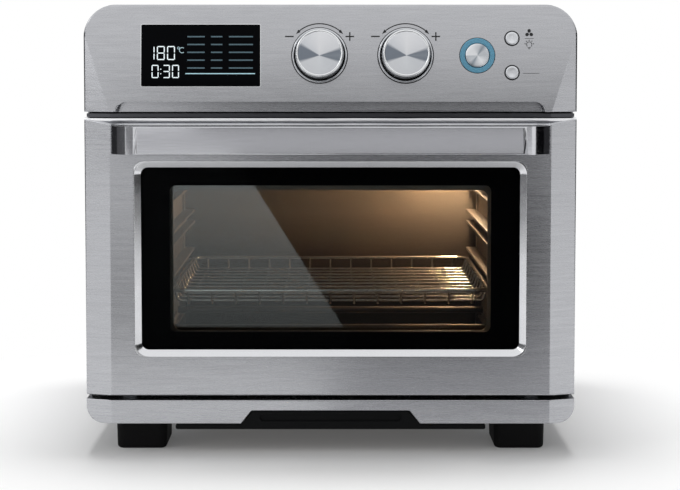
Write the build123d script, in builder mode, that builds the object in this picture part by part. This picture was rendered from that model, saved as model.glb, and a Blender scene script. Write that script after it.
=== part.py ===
from build123d import *
from math import atan, cos, degrees, radians, sin, tan
import os

# Countertop air fryer oven with a door that drops down at the front.
# Millimetres. +X is right seen from the front, -Y is the front, +Z is up.
# The origin is under the middle of the overall size, on the table.

# Overall sizes
width = 412.0
height = 377.0
foot_height = 25.2
front_face_y = -154.0
handle_reach = 40.0
rear_face_y = 194.0
rear_bulge = 8.8
sheet = 1.2
facet_width = 22.0
facet_setback = 7.0
top_corner_r = 27.0
bottom_corner_r = 16.0
small_gap = 0.3
half = width / 2

# Heights of the front, from the bottom up
trim_bottom_z = 25.5
trim_top_z = 45.5
door_bottom_z = 49.0
panel_height = 89.5
panel_bottom_z = height - panel_height
ledge_bottom_z = panel_bottom_z - 4.3
ledge_height = 3.0
ledge_inset = 2.0
door_top_z = panel_bottom_z - 6.0
door_bevel_height = 3.9
door_bevel_depth = 6.0

# Control panel
panel_depth = 29.5
panel_wall = 1.8
panel_tilt = 5.97
panel_top_r = 2.5
scoop_height = 8.6
scoop_depth = 11.0
scoop_half_width = half - 28.0
control_z = height - 42.4

# Controls on the panel, across x and up from the control height
display_x = 97.9 - half
display_width = 99.2
display_height = 51.8
display_r = 2.0
lens_thickness = 2.2
function_knob_x = -9.1
temperature_knob_x = 62.6
knob_r = 19.8
knob_ring_r = 22.9
knob_ring_height = 2.4
knob_height = 17.5
knob_lift = 1.0
shaft_r = 3.0
shaft_fit = 0.05
bush_r = 4.0
start_x = half - 83.7
start_r = 10.0
start_ring_r = 14.5
start_ring_height = 1.2
small_button_x = half - 54.8
small_button_r = 5.5
small_button_rise = 14.3
button_proud = 1.4
button_gap = 0.35
board_depth = 13.0
board_thickness = 1.6

# Door
door_depth = 25.0
door_wall = 1.5
window_half_width = half - 41.7
window_bottom_z = 82.0
window_top_z = door_top_z - 34.7
window_r = 8.0
bezel_slope = 4.8
bezel_depth = 4.0
glass_thickness = 4.0
inner_glass_thickness = 3.0
inner_plate = 2.0
sight_half_width = half - 72.5
sight_bottom_z = 100.5
sight_top_z = door_top_z - 61.0
sight_r = 6.0

# Hinge
pivot_y = front_face_y + 6.0
pivot_z = door_bottom_z + 6.0
pin_r = 2.0
pin_fit = 0.05
hinge_x = half - 34.0
arm_thickness = 3.0
arm_half_height = 4.0
arm_flange_height = 16.0
cheek_thickness = 1.8
cheek_gap = 0.5

# Handle
strap_half_width = half - 23.0
strap_thickness = 4.0
strap_height = 23.0
strap_top_z = door_top_z - 4.5
strap_bottom_z = strap_top_z - strap_height
strap_flare = 2.0
strap_corner_r = 25.0
strap_foot_width = 11.0
strap_foot_depth = 13.0
handle_screw_r = 2.0

# Oven cavity
frame_y = -124.5
frame_thickness = 1.5
cavity_half_width = half - 56.0
cavity_floor_z = 27.6
cavity_top_z = door_top_z - 9.5
cavity_back_y = 176.0
liner = 0.8
mouth_half_width = cavity_half_width - 4.0
mouth_bottom_z = 60.0
mouth_top_z = cavity_top_z - 4.0
mouth_r = 8.0
seal_width = 4.5
seal_thickness = 2.2
rail_reach = 10.5
rail_thickness = 2.4
rail_channel = 9.0
rail_levels = 3
rail_headroom = 63.5

# Basket
basket_half_width = cavity_half_width - 9.0
basket_front_y = -98.0
basket_length = 250.0
rim_r = 2.0
rim_z = 130.5
wire = 2.2
basket_depth = 12.0
long_wires = 13
cross_wires = 11
wire_pitch = 2 * (basket_half_width - 16.8) / (long_wires - 1)
rail_pitch = (cavity_top_z - rim_z - rail_headroom) / (rail_levels - 1)

# Crumb tray
tray_half_width = cavity_half_width - 19.5
tray_bottom_z = 20.3
tray_top_z = 24.6
tray_sheet = 0.8
tray_length = 290.0
cutout_top_half = 66.6
cutout_bottom_half = 76.2
cutout_top_z = 36.6
tray_mouth_half = tray_half_width - 5.5

# Feet
foot_width = 43.5
foot_depth = 55.0
foot_x = half - 45.0
foot_front_y = -136.0
foot_back_y = 178.0

# Heating elements
element_r = 3.3
lower_element_z = 88.0
upper_element_z = cavity_top_z - 16.0
element_front_y = -35.0
element_back_y = 78.0

# Convection fan
fan_y = 22.0
fan_r = 62.0
fan_blades = 12
blade_height = 12.0
housing_r = 74.0
housing_height = 27.0
spindle_r = 3.0
guard_r = 82.0

# Values that follow from those above
panel_back_y = front_face_y + panel_depth
door_back_y = front_face_y + door_depth
inner_plate_back_y = door_back_y + inner_plate
frame_back_y = frame_y + frame_thickness
cabinet_back_y = rear_face_y - rear_bulge - sheet
tilt = radians(panel_tilt)
facet_start = half - facet_width


def front_plane(y):
    """A sketch plane at depth y that faces the front; its second axis is up."""
    return Plane.XZ.offset(-y)


def panel_y(z):
    """Depth of the tilted panel face at height z."""
    return front_face_y + (z - panel_bottom_z) * tan(tilt)


# Plane of the controls: x across, y up the slope, z out of the panel
control_plane = Plane(
    origin=(0, panel_y(control_z), control_z),
    x_dir=(1, 0, 0),
    z_dir=(0, -cos(tilt), sin(tilt)),
)


def faceted_plan(back_y, inset=0.0):
    """Plan outline of the front, with a receding facet at each side."""
    Polygon(
        (-half, back_y + inset),
        (-half, front_face_y + facet_setback),
        (-facet_start, front_face_y),
        (facet_start, front_face_y),
        (half, front_face_y + facet_setback),
        (half, back_y + inset),
        align=None,
    )
    if inset:
        offset(amount=-inset, kind=Kind.INTERSECTION)


def body_outline(inset=0.0):
    """Front outline of the cabinet, rounded at all four corners."""
    middle = (height + trim_bottom_z) / 2
    with Locations((0, middle)):
        outline = Rectangle(width - 2 * inset, height - trim_bottom_z - 2 * inset)
    fillet(outline.vertices().group_by(Axis.Y)[-1], top_corner_r - inset)
    fillet(outline.vertices().group_by(Axis.Y)[0], bottom_corner_r - inset)


def centred_rect(half_width, low_z, high_z, r):
    """A rounded rectangle about x = 0 between two heights."""
    with Locations((0, (low_z + high_z) / 2)):
        RectangleRounded(2 * half_width, high_z - low_z, r)


def save(piece, name):
    """Labels a finished piece and writes it to the parts folder."""
    piece.part.label = name
    export_step(piece.part, f"parts/{name}.step")


os.makedirs("parts", exist_ok=True)

# Cabinet wrap: sides and roof from one bent sheet, with slots for cooling air
vent_rows = 5
vent_pitch = 9.0
vent_length = 34.0
vent_height = 3.4
vent_spacing = 8.0
vent_y = 112.0
vent_z = height - 55.0
wrap_return = 20.0

with BuildPart() as cabinet_wrap:
    with BuildSketch(front_plane(cabinet_back_y)):
        body_outline()
    extrude(amount=cabinet_back_y - frame_y)
    with BuildSketch(front_plane(cabinet_back_y)):
        body_outline(sheet)
    extrude(amount=cabinet_back_y - frame_y, mode=Mode.SUBTRACT)
    with BuildSketch(Plane.XY.offset(trim_bottom_z - sheet)):
        Rectangle(2 * (half - wrap_return), 4 * rear_face_y)
    extrude(amount=3 * sheet, mode=Mode.SUBTRACT)
    with BuildSketch(Plane.YZ):
        with Locations((vent_y, vent_z)):
            with GridLocations(vent_length + vent_spacing, vent_pitch, 2, vent_rows):
                SlotOverall(vent_length, vent_height)
    extrude(amount=half + 1, both=True, mode=Mode.SUBTRACT)
save(cabinet_wrap, "cabinet_wrap")

# Back panel: flat sheet with one raised, louvred field
bulge_half_width = half - 56.0
bulge_bottom_z = 70.0
bulge_top_z = height - 47.0
bulge_r = 18.0
bulge_taper = 40.0
louvre_columns = 12
louvre_pitch = 2 * (bulge_half_width - 56.5) / (louvre_columns - 1)
louvre_length = 46.0
louvre_width = 4.2
louvre_margin = 48.0
gland_x = half - 34.0
gland_z = 52.0
gland_r = 6.0
gland_bore_r = 3.6
gland_nut_margin = 4.0
gland_nut_depth = 3.5
gland_depth_inside = 3.0
back_screw_r = 1.6
back_screw_x = half - 14.0
back_screw_low_z = 45.0
back_screw_high_z = height - 32.0
back_screw_head_r = 3.5
back_screw_head_height = 1.6
back_screw_length = 6.0
back_skin_y = cabinet_back_y + sheet + small_gap / 3

with BuildPart() as back_panel:
    with BuildSketch(front_plane(cabinet_back_y + sheet)):
        body_outline()
    extrude(amount=sheet - small_gap / 3)
    with BuildSketch(front_plane(cabinet_back_y + sheet)):
        centred_rect(bulge_half_width, bulge_bottom_z, bulge_top_z, bulge_r)
    extrude(amount=-rear_bulge, taper=bulge_taper)
    with BuildSketch(front_plane(cabinet_back_y)):
        centred_rect(bulge_half_width - sheet, bulge_bottom_z + sheet, bulge_top_z - sheet, bulge_r - sheet)
    extrude(amount=-rear_bulge, taper=bulge_taper, mode=Mode.SUBTRACT)
    with BuildSketch(front_plane(rear_face_y + 1)):
        for row_z in (bulge_top_z - louvre_margin, bulge_bottom_z + louvre_margin):
            with Locations((0, row_z)):
                with GridLocations(louvre_pitch, 1, louvre_columns, 1):
                    SlotOverall(louvre_length, louvre_width, rotation=90)
        with Locations((gland_x, gland_z)):
            Circle(gland_r + small_gap)
        with Locations((0, (back_screw_low_z + back_screw_high_z) / 2)):
            with GridLocations(2 * back_screw_x, (back_screw_high_z - back_screw_low_z) / 2, 2, 3):
                Circle(back_screw_r + 0.1)
    extrude(amount=2 * rear_bulge + 8, mode=Mode.SUBTRACT)
save(back_panel, "back_panel")

with BuildPart() as back_screws:
    with BuildSketch(front_plane(back_skin_y)):
        with Locations((0, (back_screw_low_z + back_screw_high_z) / 2)):
            with GridLocations(2 * back_screw_x, (back_screw_high_z - back_screw_low_z) / 2, 2, 3):
                Circle(back_screw_head_r)
    extrude(amount=-back_screw_head_height)
    with BuildSketch(front_plane(back_skin_y)):
        with Locations((0, (back_screw_low_z + back_screw_high_z) / 2)):
            with GridLocations(2 * back_screw_x, (back_screw_high_z - back_screw_low_z) / 2, 2, 3):
                Circle(back_screw_r)
    extrude(amount=back_screw_length)
save(back_screws, "back_screws")

# Gland where the supply lead would enter
with BuildPart() as cable_gland:
    gland_front_y = cabinet_back_y - gland_depth_inside
    gland_length = rear_face_y - 2 * small_gap - gland_front_y
    with BuildSketch(front_plane(gland_front_y)):
        with Locations((gland_x, gland_z)):
            Circle(gland_r)
    extrude(amount=-gland_length)
    with BuildSketch(front_plane(back_skin_y)):
        with Locations((gland_x, gland_z)):
            RegularPolygon(gland_r + gland_nut_margin, 8)
    extrude(amount=-gland_nut_depth)
    with BuildSketch(front_plane(gland_front_y)):
        with Locations((gland_x, gland_z)):
            Circle(gland_bore_r)
    extrude(amount=-gland_length, mode=Mode.SUBTRACT)
save(cable_gland, "cable_gland")

# Base pan: floor of the cabinet, open over the crumb tray
base_half_width = half - wrap_return - small_gap
tray_mouth_front_y = -112.0
tray_mouth_back_y = 140.0
base_vents = 9
base_vent_pitch = 14.0
base_vent_length = 30.0
base_vent_width = 4.0
foot_screw_r = 2.0

with BuildPart() as base_pan:
    with BuildSketch(Plane.XY.offset(foot_height)):
        with Locations((0, (frame_back_y + cabinet_back_y) / 2)):
            Rectangle(2 * base_half_width, cabinet_back_y - frame_back_y - 2 * small_gap)
        with Locations((0, (tray_mouth_front_y + tray_mouth_back_y) / 2)):
            Rectangle(2 * tray_mouth_half, tray_mouth_back_y - tray_mouth_front_y, mode=Mode.SUBTRACT)
        for foot_y in (foot_front_y + foot_depth / 2, foot_back_y - foot_depth / 2):
            with Locations((-foot_x, foot_y), (foot_x, foot_y)):
                Circle(foot_screw_r + 0.1, mode=Mode.SUBTRACT)
        for side in (-1, 1):
            with Locations((side * foot_x, (foot_front_y + foot_back_y) / 2)):
                with GridLocations(1, base_vent_pitch, 1, base_vents):
                    SlotOverall(base_vent_length, base_vent_width, mode=Mode.SUBTRACT)
    extrude(amount=sheet)
save(base_pan, "base_pan")

# Runners that carry the crumb tray under the base pan
runner_thickness = 1.2
runner_lip = 6.0
runner_back_y = tray_mouth_back_y + 10.0

with BuildPart() as tray_runners:
    lip_bottom_z = tray_bottom_z - small_gap - runner_thickness
    web_x = tray_half_width + 1.0
    for side in (-1, 1):
        with BuildSketch(front_plane(runner_back_y)):
            with BuildLine():
                Polyline(
                    (side * web_x, foot_height),
                    (side * web_x, tray_bottom_z - small_gap),
                    (side * (web_x - runner_lip), tray_bottom_z - small_gap),
                    (side * (web_x - runner_lip), lip_bottom_z),
                    (side * (web_x + runner_thickness), lip_bottom_z),
                    (side * (web_x + runner_thickness), foot_height),
                    close=True,
                )
            make_face()
        extrude(amount=runner_back_y - frame_back_y)
save(tray_runners, "tray_runners")

# Feet: tapered rubber blocks with a recess for their screw
foot_places = {
    "foot_front_left": (-foot_x, foot_front_y + foot_depth / 2),
    "foot_front_right": (foot_x, foot_front_y + foot_depth / 2),
    "foot_rear_left": (-foot_x, foot_back_y - foot_depth / 2),
    "foot_rear_right": (foot_x, foot_back_y - foot_depth / 2),
}
foot_recess = 16.0
foot_recess_r = 8.0
foot_r = 7.0
foot_taper = 1.5
foot_edge_r = 3.0
foot_screw_head_r = 4.2
foot_screw_head_height = 2.4
foot_screw_grip = 5.0

for foot_name, foot_place in foot_places.items():
    with BuildPart() as foot:
        with BuildSketch(Plane.XY.offset(foot_height)):
            with Locations(foot_place):
                RectangleRounded(foot_width, foot_depth, foot_r)
        extrude(amount=-foot_height, taper=foot_taper)
        fillet(foot.faces().sort_by(Axis.Z)[0].edges(), foot_edge_r)
        with BuildSketch(Plane.XY):
            with Locations(foot_place):
                Circle(foot_recess_r)
        extrude(amount=foot_recess, mode=Mode.SUBTRACT)
        with BuildSketch(Plane.XY):
            with Locations(foot_place):
                Circle(foot_screw_r + 0.1)
        extrude(amount=foot_height, mode=Mode.SUBTRACT)
    save(foot, foot_name)

with BuildPart() as foot_screws:
    with BuildSketch(Plane.XY.offset(foot_recess)):
        with Locations(*foot_places.values()):
            Circle(foot_screw_head_r)
    extrude(amount=-foot_screw_head_height)
    with BuildSketch(Plane.XY.offset(foot_recess)):
        with Locations(*foot_places.values()):
            Circle(foot_screw_r)
    extrude(amount=foot_height - foot_recess + foot_screw_grip)
save(foot_screws, "foot_screws")

# Front frame: plate round the oven's mouth, with a ledge over the door
with BuildPart() as front_frame:
    with BuildSketch(front_plane(frame_back_y)):
        body_outline(sheet + small_gap)
    extrude(amount=frame_thickness)
    with BuildSketch(front_plane(frame_back_y)):
        centred_rect(mouth_half_width, mouth_bottom_z, mouth_top_z, mouth_r)
    extrude(amount=2 * frame_thickness, mode=Mode.SUBTRACT)
    with BuildSketch(Plane.XY.offset(ledge_bottom_z)):
        faceted_plan(frame_y + ledge_inset, ledge_inset)
    extrude(amount=ledge_height)
save(front_frame, "front_frame")

# Door seal: soft loop round the mouth
seal_margin = 1.0
seal_reach = seal_margin + seal_width
seal_edge_r = 1.2

with BuildPart() as door_seal:
    with BuildSketch(front_plane(frame_y)):
        centred_rect(
            mouth_half_width + seal_reach,
            mouth_bottom_z - seal_reach,
            mouth_top_z + seal_reach,
            mouth_r + seal_reach,
        )
    extrude(amount=seal_thickness)
    with BuildSketch(front_plane(frame_y)):
        centred_rect(
            mouth_half_width + seal_margin,
            mouth_bottom_z - seal_margin,
            mouth_top_z + seal_margin,
            mouth_r + seal_margin,
        )
    extrude(amount=seal_thickness, mode=Mode.SUBTRACT)
    seal_front = door_seal.faces().sort_by(Axis.Y)[0]
    fillet(seal_front.outer_wire().edges(), seal_edge_r)
save(door_seal, "door_seal")

# Lower trim: faceted strip under the door, cut out for the crumb tray's grip
trim_wall = 1.5
cutout_r = 3.0
trim_edge_r = 1.0

with BuildPart() as lower_trim:
    with BuildSketch(Plane.XY.offset(trim_bottom_z)):
        faceted_plan(frame_y)
    extrude(amount=trim_top_z - trim_bottom_z)
    with BuildSketch(front_plane(frame_y)):
        body_outline()
    extrude(amount=panel_depth + 1, mode=Mode.INTERSECT)
    with BuildSketch(Plane.XY.offset(trim_bottom_z + trim_wall)):
        faceted_plan(frame_y + 2 * trim_wall, trim_wall)
    extrude(amount=trim_top_z - trim_bottom_z - 2 * trim_wall, mode=Mode.SUBTRACT)
    with BuildSketch(front_plane(frame_y)):
        with BuildLine():
            Polyline(
                (-cutout_bottom_half, trim_bottom_z - 1),
                (-cutout_top_half, cutout_top_z),
                (cutout_top_half, cutout_top_z),
                (cutout_bottom_half, trim_bottom_z - 1),
                close=True,
            )
        cutout = make_face()
        fillet(cutout.vertices().group_by(Axis.Y)[-1], cutout_r)
    extrude(amount=panel_depth + 1, mode=Mode.SUBTRACT)
    front_edges = lower_trim.edges().filter_by(Axis.X).group_by(Axis.Y)[0]
    fillet(front_edges.group_by(Axis.Z)[-1], trim_edge_r)
save(lower_trim, "lower_trim")

# Crumb tray: shallow pan that closes the floor of the cavity
tray_front_y = front_face_y + 6.0
tray_back_y = tray_front_y + tray_length
tray_r = 4.0
grip_thickness = 4.0
grip_gap = 1.0
grip_edge_r = 1.5
groove_height = 6.0
groove_depth = 2.0
groove_margin = 7.0

with BuildPart() as crumb_tray:
    with BuildSketch(Plane.XY.offset(tray_bottom_z)):
        with Locations((0, (tray_front_y + tray_back_y) / 2)):
            RectangleRounded(2 * tray_half_width, tray_length, tray_r)
    extrude(amount=tray_top_z - tray_bottom_z)
    with BuildSketch(Plane.XY.offset(tray_bottom_z + tray_sheet)):
        with Locations((0, (tray_front_y + tray_back_y) / 2)):
            RectangleRounded(
                2 * (tray_half_width - tray_sheet),
                tray_length - 2 * tray_sheet,
                tray_r - tray_sheet,
            )
    extrude(amount=tray_top_z - tray_bottom_z, mode=Mode.SUBTRACT)
save(crumb_tray, "crumb_tray")

with BuildPart() as crumb_tray_grip:
    with BuildSketch(front_plane(tray_front_y)):
        with Locations((0, (tray_bottom_z + tray_top_z) / 2)):
            RectangleRounded(2 * tray_half_width, tray_top_z - tray_bottom_z, grip_edge_r)
        with BuildLine():
            Polyline(
                (grip_gap - cutout_bottom_half, tray_bottom_z + grip_edge_r),
                (grip_gap - cutout_bottom_half, trim_bottom_z),
                (grip_gap - cutout_top_half, cutout_top_z - grip_gap),
                (cutout_top_half - grip_gap, cutout_top_z - grip_gap),
                (cutout_bottom_half - grip_gap, trim_bottom_z),
                (cutout_bottom_half - grip_gap, tray_bottom_z + grip_edge_r),
                close=True,
            )
        make_face()
    extrude(amount=grip_thickness)
    with BuildSketch(front_plane(tray_front_y - grip_thickness)):
        with Locations((0, (trim_bottom_z + cutout_top_z) / 2 - grip_gap)):
            SlotOverall(2 * (cutout_top_half - groove_margin), groove_height)
    extrude(amount=-groove_depth, mode=Mode.SUBTRACT)
save(crumb_tray_grip, "crumb_tray_grip")

# Cavity liner: five walls of thin sheet behind the front frame
cavity_mid_y = (frame_back_y + cavity_back_y) / 2
cavity_length = cavity_back_y - frame_back_y
liner_r = 6.0
lamp_y = 120.0
lamp_z = cavity_top_z - 29.0
lamp_r = 17.0

with BuildPart() as cavity_liner:
    with BuildSketch(front_plane(frame_back_y)):
        centred_rect(cavity_half_width + liner, cavity_floor_z - liner, cavity_top_z + liner, liner_r + liner)
    extrude(amount=-(cavity_length + liner))
    with BuildSketch(front_plane(frame_back_y)):
        centred_rect(cavity_half_width, cavity_floor_z, cavity_top_z, liner_r)
    extrude(amount=-cavity_length, mode=Mode.SUBTRACT)
    with BuildSketch(Plane.XY.offset(cavity_floor_z - 2 * liner)):
        with Locations((0, (tray_mouth_front_y + tray_mouth_back_y) / 2)):
            Rectangle(2 * tray_mouth_half, tray_mouth_back_y - tray_mouth_front_y)
    extrude(amount=4 * liner, mode=Mode.SUBTRACT)
    with BuildSketch(Plane.XY.offset(cavity_top_z - liner)):
        with Locations((0, fan_y)):
            Circle(housing_r - 2)
    extrude(amount=3 * liner, mode=Mode.SUBTRACT)
    with BuildSketch(Plane.YZ):
        for element_y in (element_front_y, element_back_y):
            with Locations((element_y, lower_element_z), (element_y, upper_element_z)):
                Circle(element_r + 1)
    extrude(amount=half, both=True, mode=Mode.SUBTRACT)
    with BuildSketch(Plane.YZ):
        with Locations((lamp_y, lamp_z)):
            Circle(lamp_r + small_gap)
    extrude(amount=half, mode=Mode.SUBTRACT)
save(cavity_liner, "cavity_liner")

# Rack rails: three channels on each side wall for the basket's rim
rail_front_y = frame_back_y + 12.0
rail_back_y = cavity_back_y - 6.0
rail_top_z = rim_z - rim_r - small_gap
rail_web = 2.0
strip_width = 16.0
strip_thickness = 1.2
strip_margin = 3.0

for side, rail_name in ((-1, "rack_rail_left"), (1, "rack_rail_right")):
    with BuildPart() as rack_rail:
        outer_x = side * (cavity_half_width - 0.1)
        inner_x = side * (cavity_half_width - rail_reach)
        with BuildSketch(front_plane(rail_front_y)):
            for level in range(rail_levels):
                low_z = rail_top_z + level * rail_pitch
                with BuildLine():
                    Polyline(
                        (outer_x, low_z - rail_thickness),
                        (inner_x, low_z - rail_thickness),
                        (inner_x, low_z),
                        (side * (cavity_half_width - rail_web), low_z),
                        (side * (cavity_half_width - rail_web), low_z + rail_channel),
                        (inner_x, low_z + rail_channel),
                        (inner_x, low_z + rail_channel + rail_thickness),
                        (outer_x, low_z + rail_channel + rail_thickness),
                        close=True,
                    )
                make_face()
        extrude(amount=-(rail_back_y - rail_front_y))
        rail_mid_z = rail_top_z + (rail_levels - 1) * rail_pitch / 2 + rail_channel / 2
        rail_span = (rail_levels - 1) * rail_pitch
        for strip_y in (rail_front_y + strip_width, rail_back_y - strip_width):
            with BuildSketch(Plane.YZ.offset(outer_x)):
                with Locations((strip_y, rail_mid_z)):
                    Rectangle(strip_width, rail_span + 2 * strip_margin)
            extrude(amount=-side * strip_thickness)
    save(rack_rail, rail_name)

# Control panel: faceted fascia with a tilted face and a scoop over the handle
with BuildPart() as panel_hollow:
    with BuildSketch(Plane.XY.offset(panel_bottom_z)):
        faceted_plan(panel_back_y + 2 * panel_wall, panel_wall)
    extrude(amount=height)
    with BuildSketch(front_plane(panel_back_y + 2 * panel_wall)):
        body_outline(panel_wall)
    extrude(amount=2 * panel_depth, mode=Mode.INTERSECT)
    with BuildSketch(Plane.YZ):
        shelf_z = panel_bottom_z + scoop_height + panel_wall
        scoop_back_y = front_face_y + scoop_depth + panel_wall
        Polygon(
            (panel_back_y + 2 * panel_wall, panel_bottom_z + panel_wall),
            (scoop_back_y, panel_bottom_z + panel_wall),
            (scoop_back_y, shelf_z),
            (panel_y(shelf_z) + panel_wall, shelf_z),
            (panel_y(height) + panel_wall, height),
            (panel_back_y + 2 * panel_wall, height),
            align=None,
        )
    extrude(amount=half, both=True, mode=Mode.INTERSECT)

with BuildPart() as control_panel:
    with BuildSketch(Plane.XY.offset(panel_bottom_z)):
        faceted_plan(panel_back_y)
    extrude(amount=height - panel_bottom_z)
    with BuildSketch(front_plane(panel_back_y)):
        body_outline()
    extrude(amount=panel_depth + 1, mode=Mode.INTERSECT)
    with BuildSketch(Plane.YZ):
        side_profile = Polygon(
            (panel_back_y, panel_bottom_z),
            (front_face_y, panel_bottom_z),
            (panel_y(height), height),
            (panel_back_y, height),
            align=None,
        )
        top_front = side_profile.vertices().group_by(Axis.Y)[-1].sort_by(Axis.X)[0]
        fillet(top_front, panel_top_r)
    extrude(amount=half, both=True, mode=Mode.INTERSECT)
    with BuildSketch(front_plane(front_face_y + scoop_depth)):
        with Locations((0, panel_bottom_z)):
            RectangleRounded(2 * scoop_half_width, 2 * scoop_height, scoop_height - 0.5)
    extrude(amount=scoop_depth + 1, mode=Mode.SUBTRACT)
    add(panel_hollow.part, mode=Mode.SUBTRACT)
    with BuildSketch(control_plane):
        with Locations((display_x, 0)):
            RectangleRounded(
                display_width + 2 * small_gap,
                display_height + 2 * small_gap,
                display_r + small_gap,
            )
        with Locations((function_knob_x, 0), (temperature_knob_x, 0)):
            Circle(bush_r + small_gap)
        with Locations((start_x, 0)):
            Circle(start_r + button_gap)
        with Locations((small_button_x, small_button_rise), (small_button_x, -small_button_rise)):
            Circle(small_button_r + button_gap)
    extrude(amount=4 * panel_wall, both=True, mode=Mode.SUBTRACT)
save(control_panel, "control_panel")

with BuildPart() as display_lens:
    with BuildSketch(control_plane.offset(-panel_wall)):
        with Locations((display_x, 0)):
            RectangleRounded(display_width, display_height, display_r)
    extrude(amount=lens_thickness)
    chamfer(display_lens.faces().sort_by(Axis.Y)[0].edges(), small_gap)
save(display_lens, "display_lens")

# Control board behind the panel, with its display module, switches and spacers
board_plane = control_plane.offset(-board_depth)
button_stem_r = 1.8
button_travel = 1.0
button_root = 3.0
stem_end = 8.2
board_half_width = half - 38.0
board_height = 58.0
board_mid_x = 2.0
display_margin = 4.0
switch_size = 6.0
spacer_r = 3.0
button_places = {
    "start_button": (start_x, 0),
    "fan_button": (small_button_x, small_button_rise),
    "lamp_button": (small_button_x, -small_button_rise),
}

with BuildPart() as control_board:
    with BuildSketch(board_plane):
        with Locations((board_mid_x, 0)):
            RectangleRounded(2 * board_half_width, board_height, spacer_r)
        with Locations((function_knob_x, 0), (temperature_knob_x, 0)):
            Circle(spacer_r, mode=Mode.SUBTRACT)
    extrude(amount=-board_thickness)
    with BuildSketch(board_plane):
        with Locations((display_x, 0)):
            Rectangle(display_width - 2 * display_margin, display_height - 2.5 * display_margin)
    extrude(amount=board_depth - panel_wall - small_gap)
    with BuildSketch(board_plane):
        with Locations(*button_places.values()):
            Rectangle(switch_size, switch_size)
    extrude(amount=board_depth - stem_end)
    with BuildSketch(board_plane):
        with Locations((board_mid_x, 0)):
            with GridLocations(board_half_width + 32, 8 * switch_size, 2, 2):
                Circle(spacer_r)
    extrude(amount=board_depth - panel_wall - 0.1)
save(control_board, "control_board")

# Rotary encoders that the knobs turn
encoder_size = 13.0
encoder_height = 6.5
shaft_reach = 13.0

with BuildPart() as encoders:
    for knob_x in (function_knob_x, temperature_knob_x):
        with BuildSketch(board_plane):
            with Locations((knob_x, 0)):
                Rectangle(encoder_size, encoder_size)
        extrude(amount=encoder_height)
        with BuildSketch(board_plane):
            with Locations((knob_x, 0)):
                Circle(bush_r)
        extrude(amount=board_depth + knob_ring_height)
        with BuildSketch(board_plane):
            with Locations((knob_x, 0)):
                Circle(shaft_r)
        extrude(amount=board_depth + shaft_reach)
save(encoders, "encoders")

# Knob rings: shallow dished discs behind the knobs
knob_places = {"function_knob": function_knob_x, "temperature_knob": temperature_knob_x}
ring_floor = 0.8
ring_lip = 1.6
ring_edge_r = 0.6

for knob_name, knob_x in knob_places.items():
    with BuildPart() as knob_ring:
        with BuildSketch(control_plane):
            with Locations((knob_x, 0)):
                Circle(knob_ring_r)
        extrude(amount=knob_ring_height)
        with BuildSketch(control_plane.offset(ring_floor)):
            with Locations((knob_x, 0)):
                Circle(knob_ring_r - ring_lip)
        extrude(amount=knob_ring_height, mode=Mode.SUBTRACT)
        with BuildSketch(control_plane):
            with Locations((knob_x, 0)):
                Circle(bush_r + small_gap)
        extrude(amount=knob_ring_height, mode=Mode.SUBTRACT)
        fillet(knob_ring.edges().filter_by(GeomType.CIRCLE).sort_by(Axis.Y)[0], ring_edge_r)
    save(knob_ring, f"{knob_name}_ring")

# Knobs: turned cups with a dished face, a finger edge and a bored stem
knob_dish = 0.5
knob_rim = 2.2
knob_chamfer = 0.8
knob_flare = 0.5
knob_web = 2.7
knob_skirt = 1.6
knob_stem_r = 7.0
knob_bore_roof = 4.1
stem_gap = 0.4

for knob_name, knob_x in knob_places.items():
    knob_axis = Plane(
        origin=control_plane.from_local_coords(Vector(knob_x, 0, 0)),
        x_dir=(1, 0, 0),
        z_dir=(0, sin(tilt), cos(tilt)),
    )
    knob_front = -(knob_lift + knob_height)
    knob_face = knob_front + knob_dish
    knob_rear = -knob_lift - ring_floor
    stem_rear = knob_rear - knob_ring_height - stem_gap
    with BuildPart() as knob:
        with BuildSketch(knob_axis):
            with BuildLine():
                Polyline(
                    (0, knob_face),
                    (knob_r - knob_rim, knob_face),
                    (knob_r - 2 * knob_chamfer, knob_front),
                    (knob_r - knob_chamfer, knob_front),
                    (knob_r, knob_front + 1.5 * knob_chamfer),
                    (knob_r + knob_flare, knob_rear),
                    (knob_r - knob_skirt, knob_rear),
                    (knob_r - knob_rim, knob_face + knob_web),
                    (knob_stem_r, knob_face + knob_web),
                    (knob_stem_r, stem_rear),
                    (shaft_r + shaft_fit, stem_rear),
                    (shaft_r + shaft_fit, knob_face + knob_bore_roof),
                    (0, knob_face + knob_bore_roof),
                    close=True,
                )
            make_face()
        revolve(axis=Axis(knob_axis.origin, control_plane.z_dir))
    save(knob, knob_name)

# Start button and the ring of light round it
with BuildPart() as start_light_ring:
    with BuildSketch(control_plane):
        with Locations((start_x, 0)):
            Circle(start_ring_r)
            Circle(start_r + button_gap, mode=Mode.SUBTRACT)
    extrude(amount=start_ring_height)
    fillet(start_light_ring.edges().filter_by(GeomType.CIRCLE).sort_by(Axis.Y)[1], 0.5)
save(start_light_ring, "start_light_ring")

start_proud = 2.1
button_edge_r = 0.6
collar = 1.2
collar_thickness = 1.0
button_sizes = {
    "start_button": (start_r, start_proud),
    "fan_button": (small_button_r, button_proud),
    "lamp_button": (small_button_r, button_proud),
}

for button_name, (button_r, proud) in button_sizes.items():
    with BuildPart() as button:
        with BuildSketch(control_plane.offset(-button_root)):
            with Locations(button_places[button_name]):
                Circle(button_r)
        extrude(amount=button_root + proud)
        fillet(button.faces().sort_by(Axis.Y)[0].edges(), button_edge_r)
        with BuildSketch(control_plane.offset(-button_root)):
            with Locations(button_places[button_name]):
                Circle(button_stem_r)
        extrude(amount=-(stem_end - button_root - button_travel - small_gap))
        with BuildSketch(control_plane.offset(-panel_wall - small_gap)):
            with Locations(button_places[button_name]):
                Circle(button_r + collar)
        extrude(amount=-collar_thickness)
    save(button, button_name)

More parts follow.
